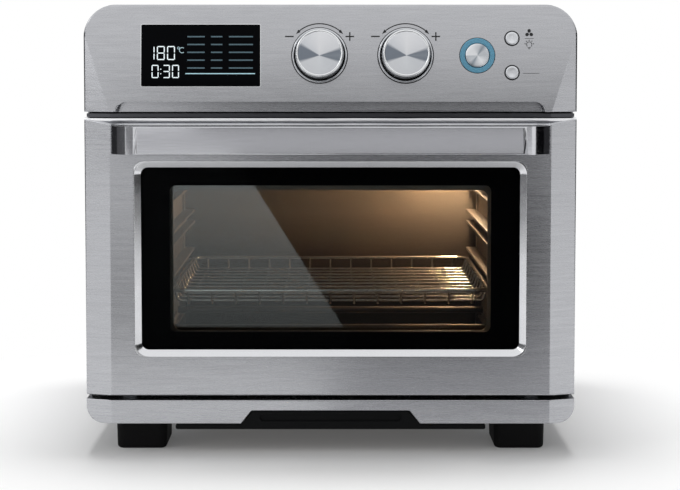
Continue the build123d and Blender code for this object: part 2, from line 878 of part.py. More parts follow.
# Power board on stand-offs above the cavity, clear of the fan's housing
roof_z = cavity_top_z + liner
power_x = -(housing_r + 54.0)
power_y = 96.0
power_width = 76.0
power_length = 110.0
standoff_height = 12.0
standoff_margin = 7.0
tall_part_height = 24.0
low_part_height = 18.0
board_top_z = roof_z + standoff_height + board_thickness

with BuildPart() as power_board:
    with BuildSketch(Plane.XY.offset(roof_z + standoff_height)):
        with Locations((power_x, power_y)):
            Rectangle(power_width, power_length)
    extrude(amount=board_thickness)
    with BuildSketch(Plane.XY.offset(roof_z + small_gap / 3)):
        with Locations((power_x, power_y)):
            with GridLocations(power_width / 2, power_length - 2 * standoff_margin, 2, 2):
                Circle(spacer_r)
    extrude(amount=standoff_height)
    with BuildSketch(Plane.XY.offset(board_top_z)):
        with Locations((power_x - power_width / 5, power_y + power_length / 4)):
            Rectangle(30, 34)
        with Locations((power_x + power_width / 4, power_y + power_length / 4)):
            Rectangle(18, 24)
    extrude(amount=tall_part_height)
    with BuildSketch(Plane.XY.offset(board_top_z)):
        with Locations((power_x - power_width / 6, power_y - power_length / 5)):
            Circle(9)
        with Locations((power_x + power_width / 5, power_y - power_length / 5)):
            Rectangle(16, 28)
    extrude(amount=low_part_height)
save(power_board, "power_board")

# Slots in the door for the hinge arms, clear of them as the door swings
arm_slot_width = arm_thickness + 4.0
arm_slot_front_y = pivot_y - arm_half_height - 0.45
arm_slot_mid_y = (arm_slot_front_y + door_back_y + 1) / 2

# Door panel: faceted steel skin, open at the back, with its window cut out
door_edge_r = 1.8
strap_screw_x = strap_half_width - strap_foot_width / 2
strap_screw_spacing = 12.0
strap_mid_z = (strap_bottom_z + strap_top_z) / 2

with BuildPart() as door_panel:
    with BuildSketch(Plane.XY.offset(door_bottom_z)):
        faceted_plan(door_back_y)
    extrude(amount=door_top_z - door_bottom_z)
    with BuildSketch(Plane.YZ):
        door_profile = Polygon(
            (door_back_y, door_bottom_z),
            (front_face_y, door_bottom_z),
            (front_face_y, door_top_z - door_bevel_height),
            (front_face_y + door_bevel_depth, door_top_z),
            (door_back_y, door_top_z),
            align=None,
        )
        bottom_front = door_profile.vertices().group_by(Axis.Y)[0].sort_by(Axis.X)[0]
        fillet(bottom_front, door_edge_r)
    extrude(amount=half, both=True, mode=Mode.INTERSECT)
    with BuildSketch(Plane.XY.offset(door_bottom_z + door_wall)):
        faceted_plan(door_back_y + 2 * door_wall, door_wall)
    extrude(amount=door_top_z - door_bottom_z - door_wall - door_bevel_height - 1, mode=Mode.SUBTRACT)
    with BuildSketch(front_plane(door_back_y)):
        centred_rect(window_half_width, window_bottom_z, window_top_z, window_r)
    extrude(amount=door_depth + 1, mode=Mode.SUBTRACT)
    with BuildSketch(Plane.XY.offset(door_bottom_z - 1)):
        with Locations((-hinge_x, arm_slot_mid_y), (hinge_x, arm_slot_mid_y)):
            Rectangle(arm_slot_width, door_back_y + 1 - arm_slot_front_y)
    extrude(amount=door_wall + 1, mode=Mode.SUBTRACT)
    with BuildSketch(front_plane(door_back_y)):
        for side in (-1, 1):
            with Locations((side * strap_screw_x, strap_mid_z)):
                with GridLocations(1, strap_screw_spacing, 1, 2):
                    Circle(handle_screw_r + 0.1)
    extrude(amount=door_depth + 1, mode=Mode.SUBTRACT)
save(door_panel, "door_panel")

# Window bezel: bright frame that slopes in to the glass
lip_y = front_face_y + bezel_depth
bezel_back_y = front_face_y + 10.0
bezel_proud = 0.4
bezel_fit = 0.15
bezel_land = 0.9
bezel_wall = 2.0
glass_fit = 0.2
bezel_taper = degrees(atan(bezel_slope / bezel_depth))


def window_rect(inset, r_inset):
    """The window's outline, made smaller by an inset."""
    centred_rect(
        window_half_width - inset,
        window_bottom_z + inset,
        window_top_z - inset,
        window_r - r_inset,
    )


with BuildPart() as window_bezel:
    with BuildSketch(front_plane(bezel_back_y)):
        window_rect(bezel_fit, bezel_fit)
    extrude(amount=bezel_back_y - front_face_y + bezel_proud)
    with BuildSketch(front_plane(lip_y)):
        window_rect(bezel_land + bezel_slope, bezel_wall)
    extrude(amount=bezel_depth + bezel_proud + 0.1, taper=-bezel_taper, mode=Mode.SUBTRACT)
    with BuildSketch(front_plane(lip_y)):
        window_rect(bezel_land + bezel_slope, bezel_wall)
    extrude(amount=lip_y - bezel_back_y, mode=Mode.SUBTRACT)
    with BuildSketch(front_plane(lip_y + bezel_proud + 0.1)):
        window_rect(bezel_wall, bezel_wall)
    extrude(amount=lip_y - bezel_back_y, mode=Mode.SUBTRACT)
save(window_bezel, "window_bezel")

with BuildPart() as outer_glass:
    with BuildSketch(front_plane(lip_y + bezel_proud + glass_fit + glass_thickness)):
        window_rect(bezel_wall + glass_fit, bezel_wall + glass_fit)
    extrude(amount=glass_thickness)
save(outer_glass, "outer_glass")

# Inner frame of the door: rear plate with its own sight opening, and a
# channel round the opening that holds the inner glass
plate_half_width = half - door_wall - 1.0
plate_bottom_z = pivot_z - 1.5
plate_r = 4.0
plate_back_gap = 0.1
channel_margin = 5.6
channel_wall = 1.4
channel_depth = 8.0


def sight_rect(margin=0.0):
    """The sight opening's outline, made larger by a margin."""
    centred_rect(
        sight_half_width + margin,
        sight_bottom_z - margin,
        sight_top_z + margin,
        sight_r + margin,
    )


with BuildPart() as door_inner_frame:
    with BuildSketch(front_plane(inner_plate_back_y)):
        centred_rect(plate_half_width, plate_bottom_z, door_top_z - 1.0, plate_r)
    extrude(amount=inner_plate - plate_back_gap)
    with BuildSketch(front_plane(inner_plate_back_y)):
        sight_rect()
        with Locations((-hinge_x, pivot_z), (hinge_x, pivot_z)):
            Rectangle(arm_slot_width, arm_flange_height)
    extrude(amount=2 * inner_plate, mode=Mode.SUBTRACT)
    with BuildSketch(front_plane(door_back_y + plate_back_gap)):
        sight_rect(channel_margin + channel_wall)
    extrude(amount=channel_depth)
    with BuildSketch(front_plane(door_back_y + plate_back_gap)):
        sight_rect(channel_margin)
    extrude(amount=channel_depth, mode=Mode.SUBTRACT)
save(door_inner_frame, "door_inner_frame")

with BuildPart() as inner_glass:
    with BuildSketch(front_plane(door_back_y - glass_fit)):
        sight_rect(channel_margin - small_gap)
    extrude(amount=inner_glass_thickness)
save(inner_glass, "inner_glass")

# Handle: wide flat strap that curves back into the door at both ends
strap_splay = 5.0
strap_inner_r = strap_corner_r - 12.0
strap_foot_r = 6.0
strap_edge_r = 1.2
strap_tap_depth = 9.0
strap_front_y = front_face_y - handle_reach

with BuildPart() as handle_strap:
    with BuildSketch(Plane.XY.offset(strap_bottom_z - strap_flare)):
        with BuildLine():
            outer_path = FilletPolyline(
                (-strap_half_width, front_face_y),
                (strap_splay - strap_half_width, strap_front_y),
                (strap_half_width - strap_splay, strap_front_y),
                (strap_half_width, front_face_y),
                radius=strap_corner_r,
            )
            inner_path = FilletPolyline(
                (-strap_half_width + strap_foot_width, front_face_y),
                (-strap_half_width + strap_foot_width, front_face_y - strap_foot_depth),
                (strap_thickness + strap_splay - strap_half_width, strap_front_y + strap_thickness),
                (strap_half_width - strap_thickness - strap_splay, strap_front_y + strap_thickness),
                (strap_half_width - strap_foot_width, front_face_y - strap_foot_depth),
                (strap_half_width - strap_foot_width, front_face_y),
                radius=[strap_foot_r, strap_inner_r, strap_inner_r, strap_foot_r],
            )
            Line(outer_path @ 0, inner_path @ 0)
            Line(outer_path @ 1, inner_path @ 1)
        make_face()
    extrude(amount=strap_top_z - strap_bottom_z + 2 * strap_flare)
    with BuildSketch(Plane.YZ):
        strap_profile = Polygon(
            (front_face_y, strap_bottom_z - strap_flare),
            (front_face_y - handle_reach / 2, strap_bottom_z),
            (strap_front_y, strap_bottom_z),
            (strap_front_y, strap_top_z),
            (front_face_y - handle_reach / 2, strap_top_z),
            (front_face_y, strap_top_z + strap_flare),
            align=None,
        )
        fillet(strap_profile.vertices().group_by(Axis.X)[0], strap_edge_r)
    extrude(amount=half, both=True, mode=Mode.INTERSECT)
    with BuildSketch(front_plane(front_face_y)):
        for side in (-1, 1):
            with Locations((side * strap_screw_x, strap_mid_z)):
                with GridLocations(1, strap_screw_spacing, 1, 2):
                    Circle(handle_screw_r + 0.05)
    extrude(amount=strap_tap_depth, mode=Mode.SUBTRACT)
save(handle_strap, "handle_strap")

handle_screw_head_height = 2.2
screw_seat_y = front_face_y + door_wall + small_gap / 3

with BuildPart() as handle_screws:
    for side in (-1, 1):
        with BuildSketch(front_plane(screw_seat_y)):
            with Locations((side * strap_screw_x, strap_mid_z)):
                with GridLocations(1, strap_screw_spacing, 1, 2):
                    Circle(2 * handle_screw_r)
        extrude(amount=-handle_screw_head_height)
        with BuildSketch(front_plane(screw_seat_y)):
            with Locations((side * strap_screw_x, strap_mid_z)):
                with GridLocations(1, strap_screw_spacing, 1, 2):
                    Circle(handle_screw_r)
        extrude(amount=door_wall + strap_tap_depth - 1)
save(handle_screws, "handle_screws")

# Hinge arms on the front frame, with an eye for the pin
arm_flange_width = 12.0
arm_flange_r = 2.0

for side, arm_name in ((-1, "hinge_arm_left"), (1, "hinge_arm_right")):
    arm_x = side * hinge_x
    with BuildPart() as hinge_arm:
        with BuildSketch(Plane.YZ.offset(arm_x - arm_thickness / 2)):
            with Locations((pivot_y, pivot_z)):
                Circle(arm_half_height)
            with Locations(((pivot_y + frame_y) / 2, pivot_z)):
                Rectangle(frame_y - pivot_y, 2 * arm_half_height)
            with Locations((pivot_y, pivot_z)):
                Circle(pin_r + pin_fit, mode=Mode.SUBTRACT)
        extrude(amount=arm_thickness)
        with BuildSketch(front_plane(frame_y)):
            with Locations((arm_x, pivot_z)):
                RectangleRounded(arm_flange_width, arm_flange_height, arm_flange_r)
        extrude(amount=sheet)
    save(hinge_arm, arm_name)

# Brackets in the door: two cheeks about each arm, on a foot behind the skin
cheek_offset = arm_thickness / 2 + cheek_gap
cheek_r = 4.2
cheek_top_z = pivot_z + 16.0
cheek_foot_height = 6.0
pin_head_r = 3.4
pin_head_height = 1.2

with BuildPart() as hinge_brackets:
    for side in (-1, 1):
        for inner_face in (-cheek_offset - cheek_thickness, cheek_offset):
            with BuildSketch(Plane.YZ.offset(side * hinge_x + inner_face)):
                with Locations((pivot_y, pivot_z)):
                    Circle(cheek_r)
                Polygon(
                    (pivot_y, pivot_z - cheek_r),
                    (door_back_y, pivot_z - cheek_r),
                    (door_back_y, cheek_top_z),
                    (pivot_y + cheek_foot_height, cheek_top_z),
                    (pivot_y - 1, pivot_z + cheek_r - 0.12),
                    align=None,
                )
                with Locations((pivot_y, pivot_z)):
                    Circle(pin_r + 0.02, mode=Mode.SUBTRACT)
            extrude(amount=cheek_thickness)
        with BuildSketch(front_plane(door_back_y)):
            with Locations((side * hinge_x, cheek_top_z - cheek_foot_height / 2)):
                Rectangle(2 * (cheek_offset + cheek_thickness), cheek_foot_height)
        extrude(amount=door_wall)
save(hinge_brackets, "hinge_brackets")

with BuildPart() as hinge_pins:
    pin_half_length = cheek_offset + cheek_thickness + 0.6
    for side in (-1, 1):
        with BuildSketch(Plane.YZ.offset(side * hinge_x - pin_half_length)):
            with Locations((pivot_y, pivot_z)):
                Circle(pin_r)
        extrude(amount=2 * pin_half_length)
        with BuildSketch(Plane.YZ.offset(side * hinge_x + side * (cheek_offset + cheek_thickness + 0.05))):
            with Locations((pivot_y, pivot_z)):
                Circle(pin_head_r)
        extrude(amount=side * pin_head_height)
save(hinge_pins, "hinge_pins")

# Air fry basket: rim of round wire over a woven floor of bent and straight wires
basket_back_y = basket_front_y + basket_length
basket_mid_y = (basket_front_y + basket_back_y) / 2
floor_z = rim_z - basket_depth
rim_corner_r = 12.0
wire_setback = 1.2
wire_lean = 3.0
wire_bend_r = 4.0
inner_bend_r = wire_bend_r - 2.0
cross_inset = 3.0
cross_floor_z = floor_z + wire / 2 - 0.2
front_top_y = basket_front_y + wire_setback
back_top_y = basket_back_y - wire_setback

with BuildPart() as air_fry_basket:
    with BuildLine() as rim_path:
        FilletPolyline(
            (-basket_half_width + rim_r, basket_front_y + rim_r, rim_z),
            (basket_half_width - rim_r, basket_front_y + rim_r, rim_z),
            (basket_half_width - rim_r, basket_back_y - rim_r, rim_z),
            (-basket_half_width + rim_r, basket_back_y - rim_r, rim_z),
            radius=rim_corner_r,
            close=True,
        )
    with BuildSketch(Plane(origin=rim_path.line @ 0, z_dir=rim_path.line % 0)):
        RegularPolygon(rim_r, 8)
    sweep(path=rim_path.line)
    for index in range(long_wires):
        wire_x = (index - (long_wires - 1) / 2) * wire_pitch
        with BuildSketch(Plane.YZ.offset(wire_x - wire / 2)):
            with BuildLine():
                outer_bend = FilletPolyline(
                    (front_top_y, rim_z),
                    (front_top_y + wire_lean, floor_z - wire / 2),
                    (back_top_y - wire_lean, floor_z - wire / 2),
                    (back_top_y, rim_z),
                    radius=wire_bend_r,
                )
                inner_bend = FilletPolyline(
                    (front_top_y + wire, rim_z),
                    (front_top_y + wire_lean + wire, floor_z + wire / 2),
                    (back_top_y - wire_lean - wire, floor_z + wire / 2),
                    (back_top_y - wire, rim_z),
                    radius=inner_bend_r,
                )
                Line(outer_bend @ 0, inner_bend @ 0)
                Line(outer_bend @ 1, inner_bend @ 1)
            make_face()
        extrude(amount=wire)
    cross_pitch = (basket_length - 2 * rim_corner_r) / (cross_wires - 1)
    cross_half = basket_half_width - cross_inset
    for index in range(cross_wires):
        cross_y = basket_front_y + rim_corner_r + index * cross_pitch
        with BuildSketch(front_plane(cross_y + wire / 2)):
            with BuildLine():
                outer_cross = FilletPolyline(
                    (-cross_half, rim_z),
                    (cross_inset - cross_half, cross_floor_z),
                    (cross_half - cross_inset, cross_floor_z),
                    (cross_half, rim_z),
                    radius=wire_bend_r,
                )
                inner_cross = FilletPolyline(
                    (wire - cross_half, rim_z),
                    (cross_inset + wire - cross_half, cross_floor_z + wire),
                    (cross_half - cross_inset - wire, cross_floor_z + wire),
                    (cross_half - wire, rim_z),
                    radius=inner_bend_r,
                )
                Line(outer_cross @ 0, inner_cross @ 0)
                Line(outer_cross @ 1, inner_cross @ 1)
            make_face()
        extrude(amount=wire)
save(air_fry_basket, "air_fry_basket")

# Heating elements: straight sheathed rods from wall to wall
element_sets = {"lower_elements": lower_element_z, "upper_elements": upper_element_z}
rod_half = cavity_half_width + 9.0
terminal_r = 1.6
terminal_length = 12.0

for element_name, element_z in element_sets.items():
    with BuildPart() as elements:
        with BuildSketch(Plane.YZ.offset(-rod_half)):
            with Locations((element_front_y, element_z), (element_back_y, element_z)):
                Circle(element_r)
        extrude(amount=2 * rod_half)
        for side in (-1, 1):
            with BuildSketch(Plane.YZ.offset(side * rod_half)):
                with Locations((element_front_y, element_z), (element_back_y, element_z)):
                    Circle(terminal_r)
            extrude(amount=side * terminal_length)
    save(elements, element_name)

# Element brackets: slotted plates on the side walls that hold the rods
bracket_half_length = (element_back_y - element_front_y) / 2 + 14
bracket_mid_y = (element_back_y + element_front_y) / 2
bracket_sheet = 1.2
bracket_foot = 5.0
bracket_slots = 5
bracket_slot_pitch = 16.0
bracket_sets = {
    "lower_element_brackets": (lower_element_z, lower_element_z - 8, lower_element_z + 20),
    "upper_element_brackets": (upper_element_z, upper_element_z - 9, upper_element_z + 9),
}

for bracket_name, (element_z, low_z, high_z) in bracket_sets.items():
    with BuildPart() as brackets:
        for side in (-1, 1):
            with BuildSketch(Plane.YZ.offset(side * (cavity_half_width - 0.1))):
                with Locations((bracket_mid_y, (low_z + high_z) / 2)):
                    RectangleRounded(2 * bracket_half_length, high_z - low_z, 3)
                with Locations((bracket_mid_y, element_z)):
                    with GridLocations(bracket_slot_pitch, 1, bracket_slots, 1):
                        SlotOverall(11, 4, mode=Mode.SUBTRACT)
                with Locations((element_front_y, element_z), (element_back_y, element_z)):
                    Circle(element_r + 0.2, mode=Mode.SUBTRACT)
            extrude(amount=-side * bracket_sheet)
            with BuildSketch(Plane.YZ.offset(side * (cavity_half_width - 0.1))):
                with Locations((bracket_mid_y, low_z + bracket_sheet / 2)):
                    Rectangle(2 * bracket_half_length - 8, bracket_sheet)
            extrude(amount=-side * bracket_foot)
    save(brackets, bracket_name)

# Fan housing: turned pan on the roof of the cavity
housing_top_z = roof_z + housing_height
housing_flange = 10.0
flange_z = roof_z + small_gap / 3

with BuildPart() as fan_housing:
    with BuildSketch(front_plane(fan_y)):
        with BuildLine():
            Polyline(
                (spindle_r + 2.0, housing_top_z),
                (spindle_r + 2.0, housing_top_z - liner),
                (housing_r - liner, housing_top_z - liner),
                (housing_r - liner, flange_z),
                (housing_r + housing_flange, flange_z),
                (housing_r + housing_flange, flange_z + liner),
                (housing_r, flange_z + liner),
                (housing_r, housing_top_z),
                close=True,
            )
        make_face()
    revolve(axis=Axis((0, fan_y, 0), (0, 0, 1)))
save(fan_housing, "fan_housing")

# Fan guard: slotted disc under the fan, in rings of radius, count and slot length
guard_top_z = cavity_top_z - 0.1
guard_sheet = 1.0
guard_slot_width = 4.4
guard_hole_r = 5.0
guard_rings = ((22, 10, 14), (41, 16, 16), (60, 24, 14))

with BuildPart() as fan_guard:
    with BuildSketch(Plane.XY.offset(guard_top_z)):
        with Locations((0, fan_y)):
            Circle(guard_r)
            for slot_r, slot_count, slot_length in guard_rings:
                with PolarLocations(slot_r, slot_count):
                    SlotOverall(slot_length, guard_slot_width, mode=Mode.SUBTRACT)
            Circle(guard_hole_r, mode=Mode.SUBTRACT)
    extrude(amount=-guard_sheet)
save(fan_guard, "fan_guard")

# Convection fan: backplate with curved blades under it and a hub above
fan_plate_z = housing_top_z - liner - 5.0
fan_plate = 1.0
hub_r = 8.0
hub_height = 12.0
hub_rise = 3.0
blade_root_r = 22.0
blade_mid_r = 42.0
blade_bow = 5.0
blade_sweep = 8.0
blade_sheet = 1.4

with BuildPart() as convection_fan:
    with BuildSketch(Plane.XY.offset(fan_plate_z)):
        with Locations((0, fan_y)):
            Circle(fan_r)
    extrude(amount=-fan_plate)
    with BuildSketch(Plane.XY.offset(fan_plate_z - fan_plate / 2)):
        with Locations((0, fan_y)):
            with PolarLocations(0, fan_blades):
                with BuildLine():
                    blade_outer = ThreePointArc(
                        (blade_root_r, 0),
                        (blade_mid_r, blade_bow),
                        (fan_r - 1, -blade_sweep),
                    )
                    blade_inner = ThreePointArc(
                        (blade_root_r, blade_sheet),
                        (blade_mid_r, blade_bow + blade_sheet),
                        (fan_r - 1, blade_sheet - blade_sweep),
                    )
                    Line(blade_outer @ 0, blade_inner @ 0)
                    Line(blade_outer @ 1, blade_inner @ 1)
                make_face()
    extrude(amount=-blade_height)
    with BuildSketch(Plane.XY.offset(fan_plate_z + hub_rise)):
        with Locations((0, fan_y)):
            Circle(hub_r)
    extrude(amount=-hub_height)
    with BuildSketch(Plane.XY.offset(fan_plate_z + hub_rise)):
        with Locations((0, fan_y)):
            Circle(spindle_r + 0.02)
    extrude(amount=-blade_height - hub_rise, mode=Mode.SUBTRACT)
save(convection_fan, "convection_fan")

# Spindle, cooling fan and motor above the housing
bridge_z = housing_top_z + 16.0
spindle_low_z = fan_plate_z - 11.0
spindle_high_z = bridge_z + 8.0
cooling_hub_r = 12.0
cooling_hub_height = 8.0
cooling_blades = 7
cooling_blade_length = 34.0
cooling_blade_sheet = 1.4
cooling_blade_pitch = 24.0
cooling_z = housing_top_z + 4.0

with BuildPart() as fan_spindle:
    with BuildSketch(Plane.XY.offset(spindle_low_z)):
        with Locations((0, fan_y)):
            Circle(spindle_r)
    extrude(amount=spindle_high_z - spindle_low_z)
save(fan_spindle, "fan_spindle")

with BuildPart() as cooling_fan:
    with BuildSketch(Plane.XY.offset(cooling_z)):
        with Locations((0, fan_y)):
            Circle(cooling_hub_r)
    extrude(amount=cooling_hub_height)
    with BuildSketch(Plane.XY.offset(cooling_z + 1)):
        with Locations((0, fan_y)):
            with PolarLocations(2 * cooling_hub_r, cooling_blades):
                Rectangle(cooling_blade_length, cooling_blade_sheet, rotation=cooling_blade_pitch)
    extrude(amount=cooling_hub_height - 2)
    with BuildSketch(Plane.XY.offset(cooling_z)):
        with Locations((0, fan_y)):
            Circle(spindle_r + 0.02)
    extrude(amount=cooling_hub_height, mode=Mode.SUBTRACT)
save(cooling_fan, "cooling_fan")

bridge_half = 52.0
bridge_width = 24.0
bridge_foot = 12.0
bridge_sheet = 1.2
bridge_low_z = housing_top_z + small_gap / 3
bridge_foot_z = bridge_low_z + bridge_sheet

with BuildPart() as motor_bracket:
    with BuildSketch(front_plane(fan_y + bridge_width / 2)):
        with BuildLine():
            Polyline(
                (-bridge_half - bridge_foot, bridge_low_z),
                (-bridge_half, bridge_low_z),
                (-bridge_half, bridge_z),
                (bridge_half, bridge_z),
                (bridge_half, bridge_low_z),
                (bridge_half + bridge_foot, bridge_low_z),
                (bridge_half + bridge_foot, bridge_foot_z),
                (bridge_half + bridge_sheet, bridge_foot_z),
                (bridge_half + bridge_sheet, bridge_z + bridge_sheet),
                (-bridge_half - bridge_sheet, bridge_z + bridge_sheet),
                (-bridge_half - bridge_sheet, bridge_foot_z),
                (-bridge_half - bridge_foot, bridge_foot_z),
                close=True,
            )
        make_face()
    extrude(amount=bridge_width)
    with BuildSketch(Plane.XY.offset(bridge_z - 1)):
        with Locations((0, fan_y)):
            Circle(spindle_r + bridge_sheet)
    extrude(amount=2 * bridge_sheet, mode=Mode.SUBTRACT)
save(motor_bracket, "motor_bracket")

# Shaded-pole motor: bearing boss, laminated core with a window, coil in the window
motor_z = bridge_z + bridge_sheet + small_gap / 3
boss_r = 7.0
boss_height = 7.0
core_width = 60.0
core_length = 66.0
core_height = 16.0
core_mid_y = fan_y + 8.0
coil_y = fan_y + 29.0
coil_width = 38.0
coil_length = 10.0
coil_height = 27.0
coil_window = 18.0
motor_r = 3.0

with BuildPart() as fan_motor:
    with BuildSketch(Plane.XY.offset(motor_z)):
        with Locations((0, fan_y)):
            Circle(boss_r)
    extrude(amount=boss_height)
    with BuildSketch(Plane.XY.offset(motor_z + boss_height)):
        with Locations((0, core_mid_y)):
            RectangleRounded(core_width, core_length, motor_r)
        with Locations((0, coil_y)):
            Rectangle(coil_width - 4, coil_window, mode=Mode.SUBTRACT)
    extrude(amount=core_height)
    with BuildSketch(Plane.XY.offset(motor_z + 1)):
        with Locations((0, coil_y)):
            RectangleRounded(coil_width, coil_length, motor_r)
    extrude(amount=coil_height)
    with BuildSketch(Plane.XY.offset(motor_z)):
        with Locations((0, fan_y)):
            Circle(spindle_r + 0.05)
    extrude(amount=boss_height + 1.5, mode=Mode.SUBTRACT)
save(fan_motor, "fan_motor")

# Oven lamp in the right wall: housing outside, bulb, and lens inside
lamp_wall_x = cavity_half_width + liner + 0.1
lamp_plate = 46.0
lamp_plate_r = 5.0
lamp_can_depth = 30.0
lamp_sheet = 1.0
socket_r = 7.0
socket_length = 12.0
bulb_r = 6.0
bulb_length = 14.0
bulb_nose_r = 4.5
lens_edge = 3.0
lens_height = 2.4
lens_edge_r = 1.6
lens_spigot = 2.0

with BuildPart() as lamp_housing:
    with BuildSketch(Plane.YZ.offset(lamp_wall_x)):
        with Locations((lamp_y, lamp_z)):
            RectangleRounded(lamp_plate, lamp_plate, lamp_plate_r)
            Circle(lamp_r, mode=Mode.SUBTRACT)
    extrude(amount=lamp_sheet)
    with BuildSketch(Plane.YZ.offset(lamp_wall_x)):
        with Locations((lamp_y, lamp_z)):
            Circle(lamp_r + lamp_sheet)
            Circle(lamp_r, mode=Mode.SUBTRACT)
    extrude(amount=lamp_can_depth)
    with BuildSketch(Plane.YZ.offset(lamp_wall_x + lamp_can_depth)):
        with Locations((lamp_y, lamp_z)):
            Circle(lamp_r + lamp_sheet)
    extrude(amount=lamp_sheet)
save(lamp_housing, "lamp_housing")

with BuildPart() as lamp_bulb:
    bulb_base_x = lamp_wall_x + lamp_can_depth - 0.1
    with BuildSketch(Plane.YZ.offset(bulb_base_x)):
        with Locations((lamp_y, lamp_z)):
            Circle(socket_r)
    extrude(amount=-socket_length)
    with BuildSketch(Plane.YZ.offset(bulb_base_x - socket_length)):
        with Locations((lamp_y, lamp_z)):
            Circle(bulb_r)
    extrude(amount=-bulb_length)
    fillet(lamp_bulb.faces().sort_by(Axis.X)[0].edges(), bulb_nose_r)
save(lamp_bulb, "lamp_bulb")

with BuildPart() as lamp_lens:
    with BuildSketch(Plane.YZ.offset(cavity_half_width - 0.1)):
        with Locations((lamp_y, lamp_z)):
            Circle(lamp_r + lens_edge)
    extrude(amount=-lens_height)
    fillet(lamp_lens.faces().sort_by(Axis.X)[0].edges(), lens_edge_r)
    with BuildSketch(Plane.YZ.offset(cavity_half_width - 0.2)):
        with Locations((lamp_y, lamp_z)):
            Circle(lamp_r - small_gap)
    extrude(amount=lens_spigot)
save(lamp_lens, "lamp_lens")

# Temperature probe on the back wall, with its clip
probe_x = -96.0
probe_z = cavity_top_z - 34.0
probe_r = 2.4
probe_length = 48.0
probe_nose_r = 1.6
clip_width = 18.0
clip_height = 12.0
clip_sheet = 1.2

with BuildPart() as temperature_probe:
    with BuildSketch(front_plane(cavity_back_y - 0.1)):
        with Locations((probe_x, probe_z)):
            RectangleRounded(clip_width, clip_height, 2)
    extrude(amount=clip_sheet)
    with BuildSketch(front_plane(cavity_back_y - 0.1)):
        with Locations((probe_x, probe_z)):
            Circle(probe_r)
    extrude(amount=probe_length)
    fillet(temperature_probe.faces().sort_by(Axis.Y)[0].edges(), probe_nose_r)
save(temperature_probe, "temperature_probe")
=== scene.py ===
import math

import bmesh
import bpy
from mathutils import Matrix, Vector


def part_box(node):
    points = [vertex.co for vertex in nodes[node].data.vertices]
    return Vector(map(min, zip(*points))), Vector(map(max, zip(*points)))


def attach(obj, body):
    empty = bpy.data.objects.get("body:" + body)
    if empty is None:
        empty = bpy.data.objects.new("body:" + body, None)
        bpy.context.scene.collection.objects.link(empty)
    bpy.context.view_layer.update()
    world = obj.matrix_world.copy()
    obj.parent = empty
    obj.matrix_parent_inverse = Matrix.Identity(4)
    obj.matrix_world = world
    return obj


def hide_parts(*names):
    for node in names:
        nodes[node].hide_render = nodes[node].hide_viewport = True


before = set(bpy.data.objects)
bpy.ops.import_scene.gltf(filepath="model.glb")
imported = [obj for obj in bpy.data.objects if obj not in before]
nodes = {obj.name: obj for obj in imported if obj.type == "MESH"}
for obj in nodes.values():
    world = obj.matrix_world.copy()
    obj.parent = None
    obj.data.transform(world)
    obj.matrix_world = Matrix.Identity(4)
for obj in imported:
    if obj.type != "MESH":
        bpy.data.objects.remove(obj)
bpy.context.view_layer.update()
root_body = "oven"


# Small helpers

def mm(value):
    """Millimetres as metres."""
    return value / 1000.0


white = (1, 1, 1, 1)


def linear(hex_colour):
    """An sRGB hex colour as linear RGBA."""
    channels = []
    for start in (1, 3, 5):
        level = int(hex_colour[start:start + 2], 16) / 255.0
        if level <= 0.04045:
            channels.append(level / 12.92)
        else:
            channels.append(((level + 0.055) / 1.055) ** 2.4)
    return (*channels, 1.0)


def add_node(tree, kind, sockets=None, stops=(), **settings):
    """Adds a node with its settings. A socket takes a value, or a link from an output or
    from a node's first output. Stops are a colour ramp's (position, hex colour) pairs."""
    node = tree.nodes.new(kind)
    for setting, value in settings.items():
        setattr(node, setting, value)
    for socket, value in (sockets or {}).items():
        if isinstance(value, bpy.types.Node):
            value = value.outputs[0]
        if isinstance(value, bpy.types.NodeSocket):
            tree.links.new(value, node.inputs[socket])
        else:
            node.inputs[socket].default_value = value
    if stops:
        elements = node.color_ramp.elements
        while len(elements) < len(stops):
            elements.new(0.5)
        for element, (position, colour) in zip(elements, stops):
            element.position = position
            element.color = linear(colour)
    return node


def in_scene(name, data):
    """A new object that holds the data, linked to the scene."""
    item = bpy.data.objects.new(name, data)
    bpy.context.scene.collection.objects.link(item)
    return item


def mesh_object(name, shape):
    """A new object with the bmesh's shape, which is then freed."""
    mesh = bpy.data.meshes.new(name)
    shape.to_mesh(mesh)
    shape.free()
    return in_scene(name, mesh)


def on_circle(x, y, radius, angle):
    """The point at an angle on a circle about a point."""
    return x + radius * math.cos(angle), y + radius * math.sin(angle)


# Measures taken from the frame

panel_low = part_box("control_panel")[0]
door_low, door_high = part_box("door_panel")
lens_low, lens_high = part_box("display_lens")
glass_low, glass_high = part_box("outer_glass")
basket_low, basket_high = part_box("air_fry_basket")
lamp_low, lamp_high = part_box("lamp_lens")

# The tilted control face, and the middles of what sits on it, from the display's height
panel_tilt = math.radians(5.97)
control_height = (lens_low.z + lens_high.z) / 2
control_face_y = door_low.y + (control_height - panel_low.z) * math.tan(panel_tilt)
across = Vector((1, 0, 0))
up_slope = Vector((0, math.sin(panel_tilt), math.cos(panel_tilt)))
out_of_panel = Vector((0, -math.cos(panel_tilt), math.sin(panel_tilt)))
display_x = mm(-108.1)
function_x = mm(-9.1)
temperature_x = mm(62.6)
start_x = mm(122.3)
small_x = mm(151.2)
small_rise = mm(14.3)
knob_places = {
    "function_knob": (function_x, "function_dial"),
    "temperature_knob": (temperature_x, "temperature_dial"),
}


def on_panel(x, y, lift=0.0):
    """A point on the tilted panel: across, up the slope and off its face, in metres."""
    start = Vector((0, control_face_y, control_height))
    return start + across * x + up_slope * y + out_of_panel * lift


# Materials

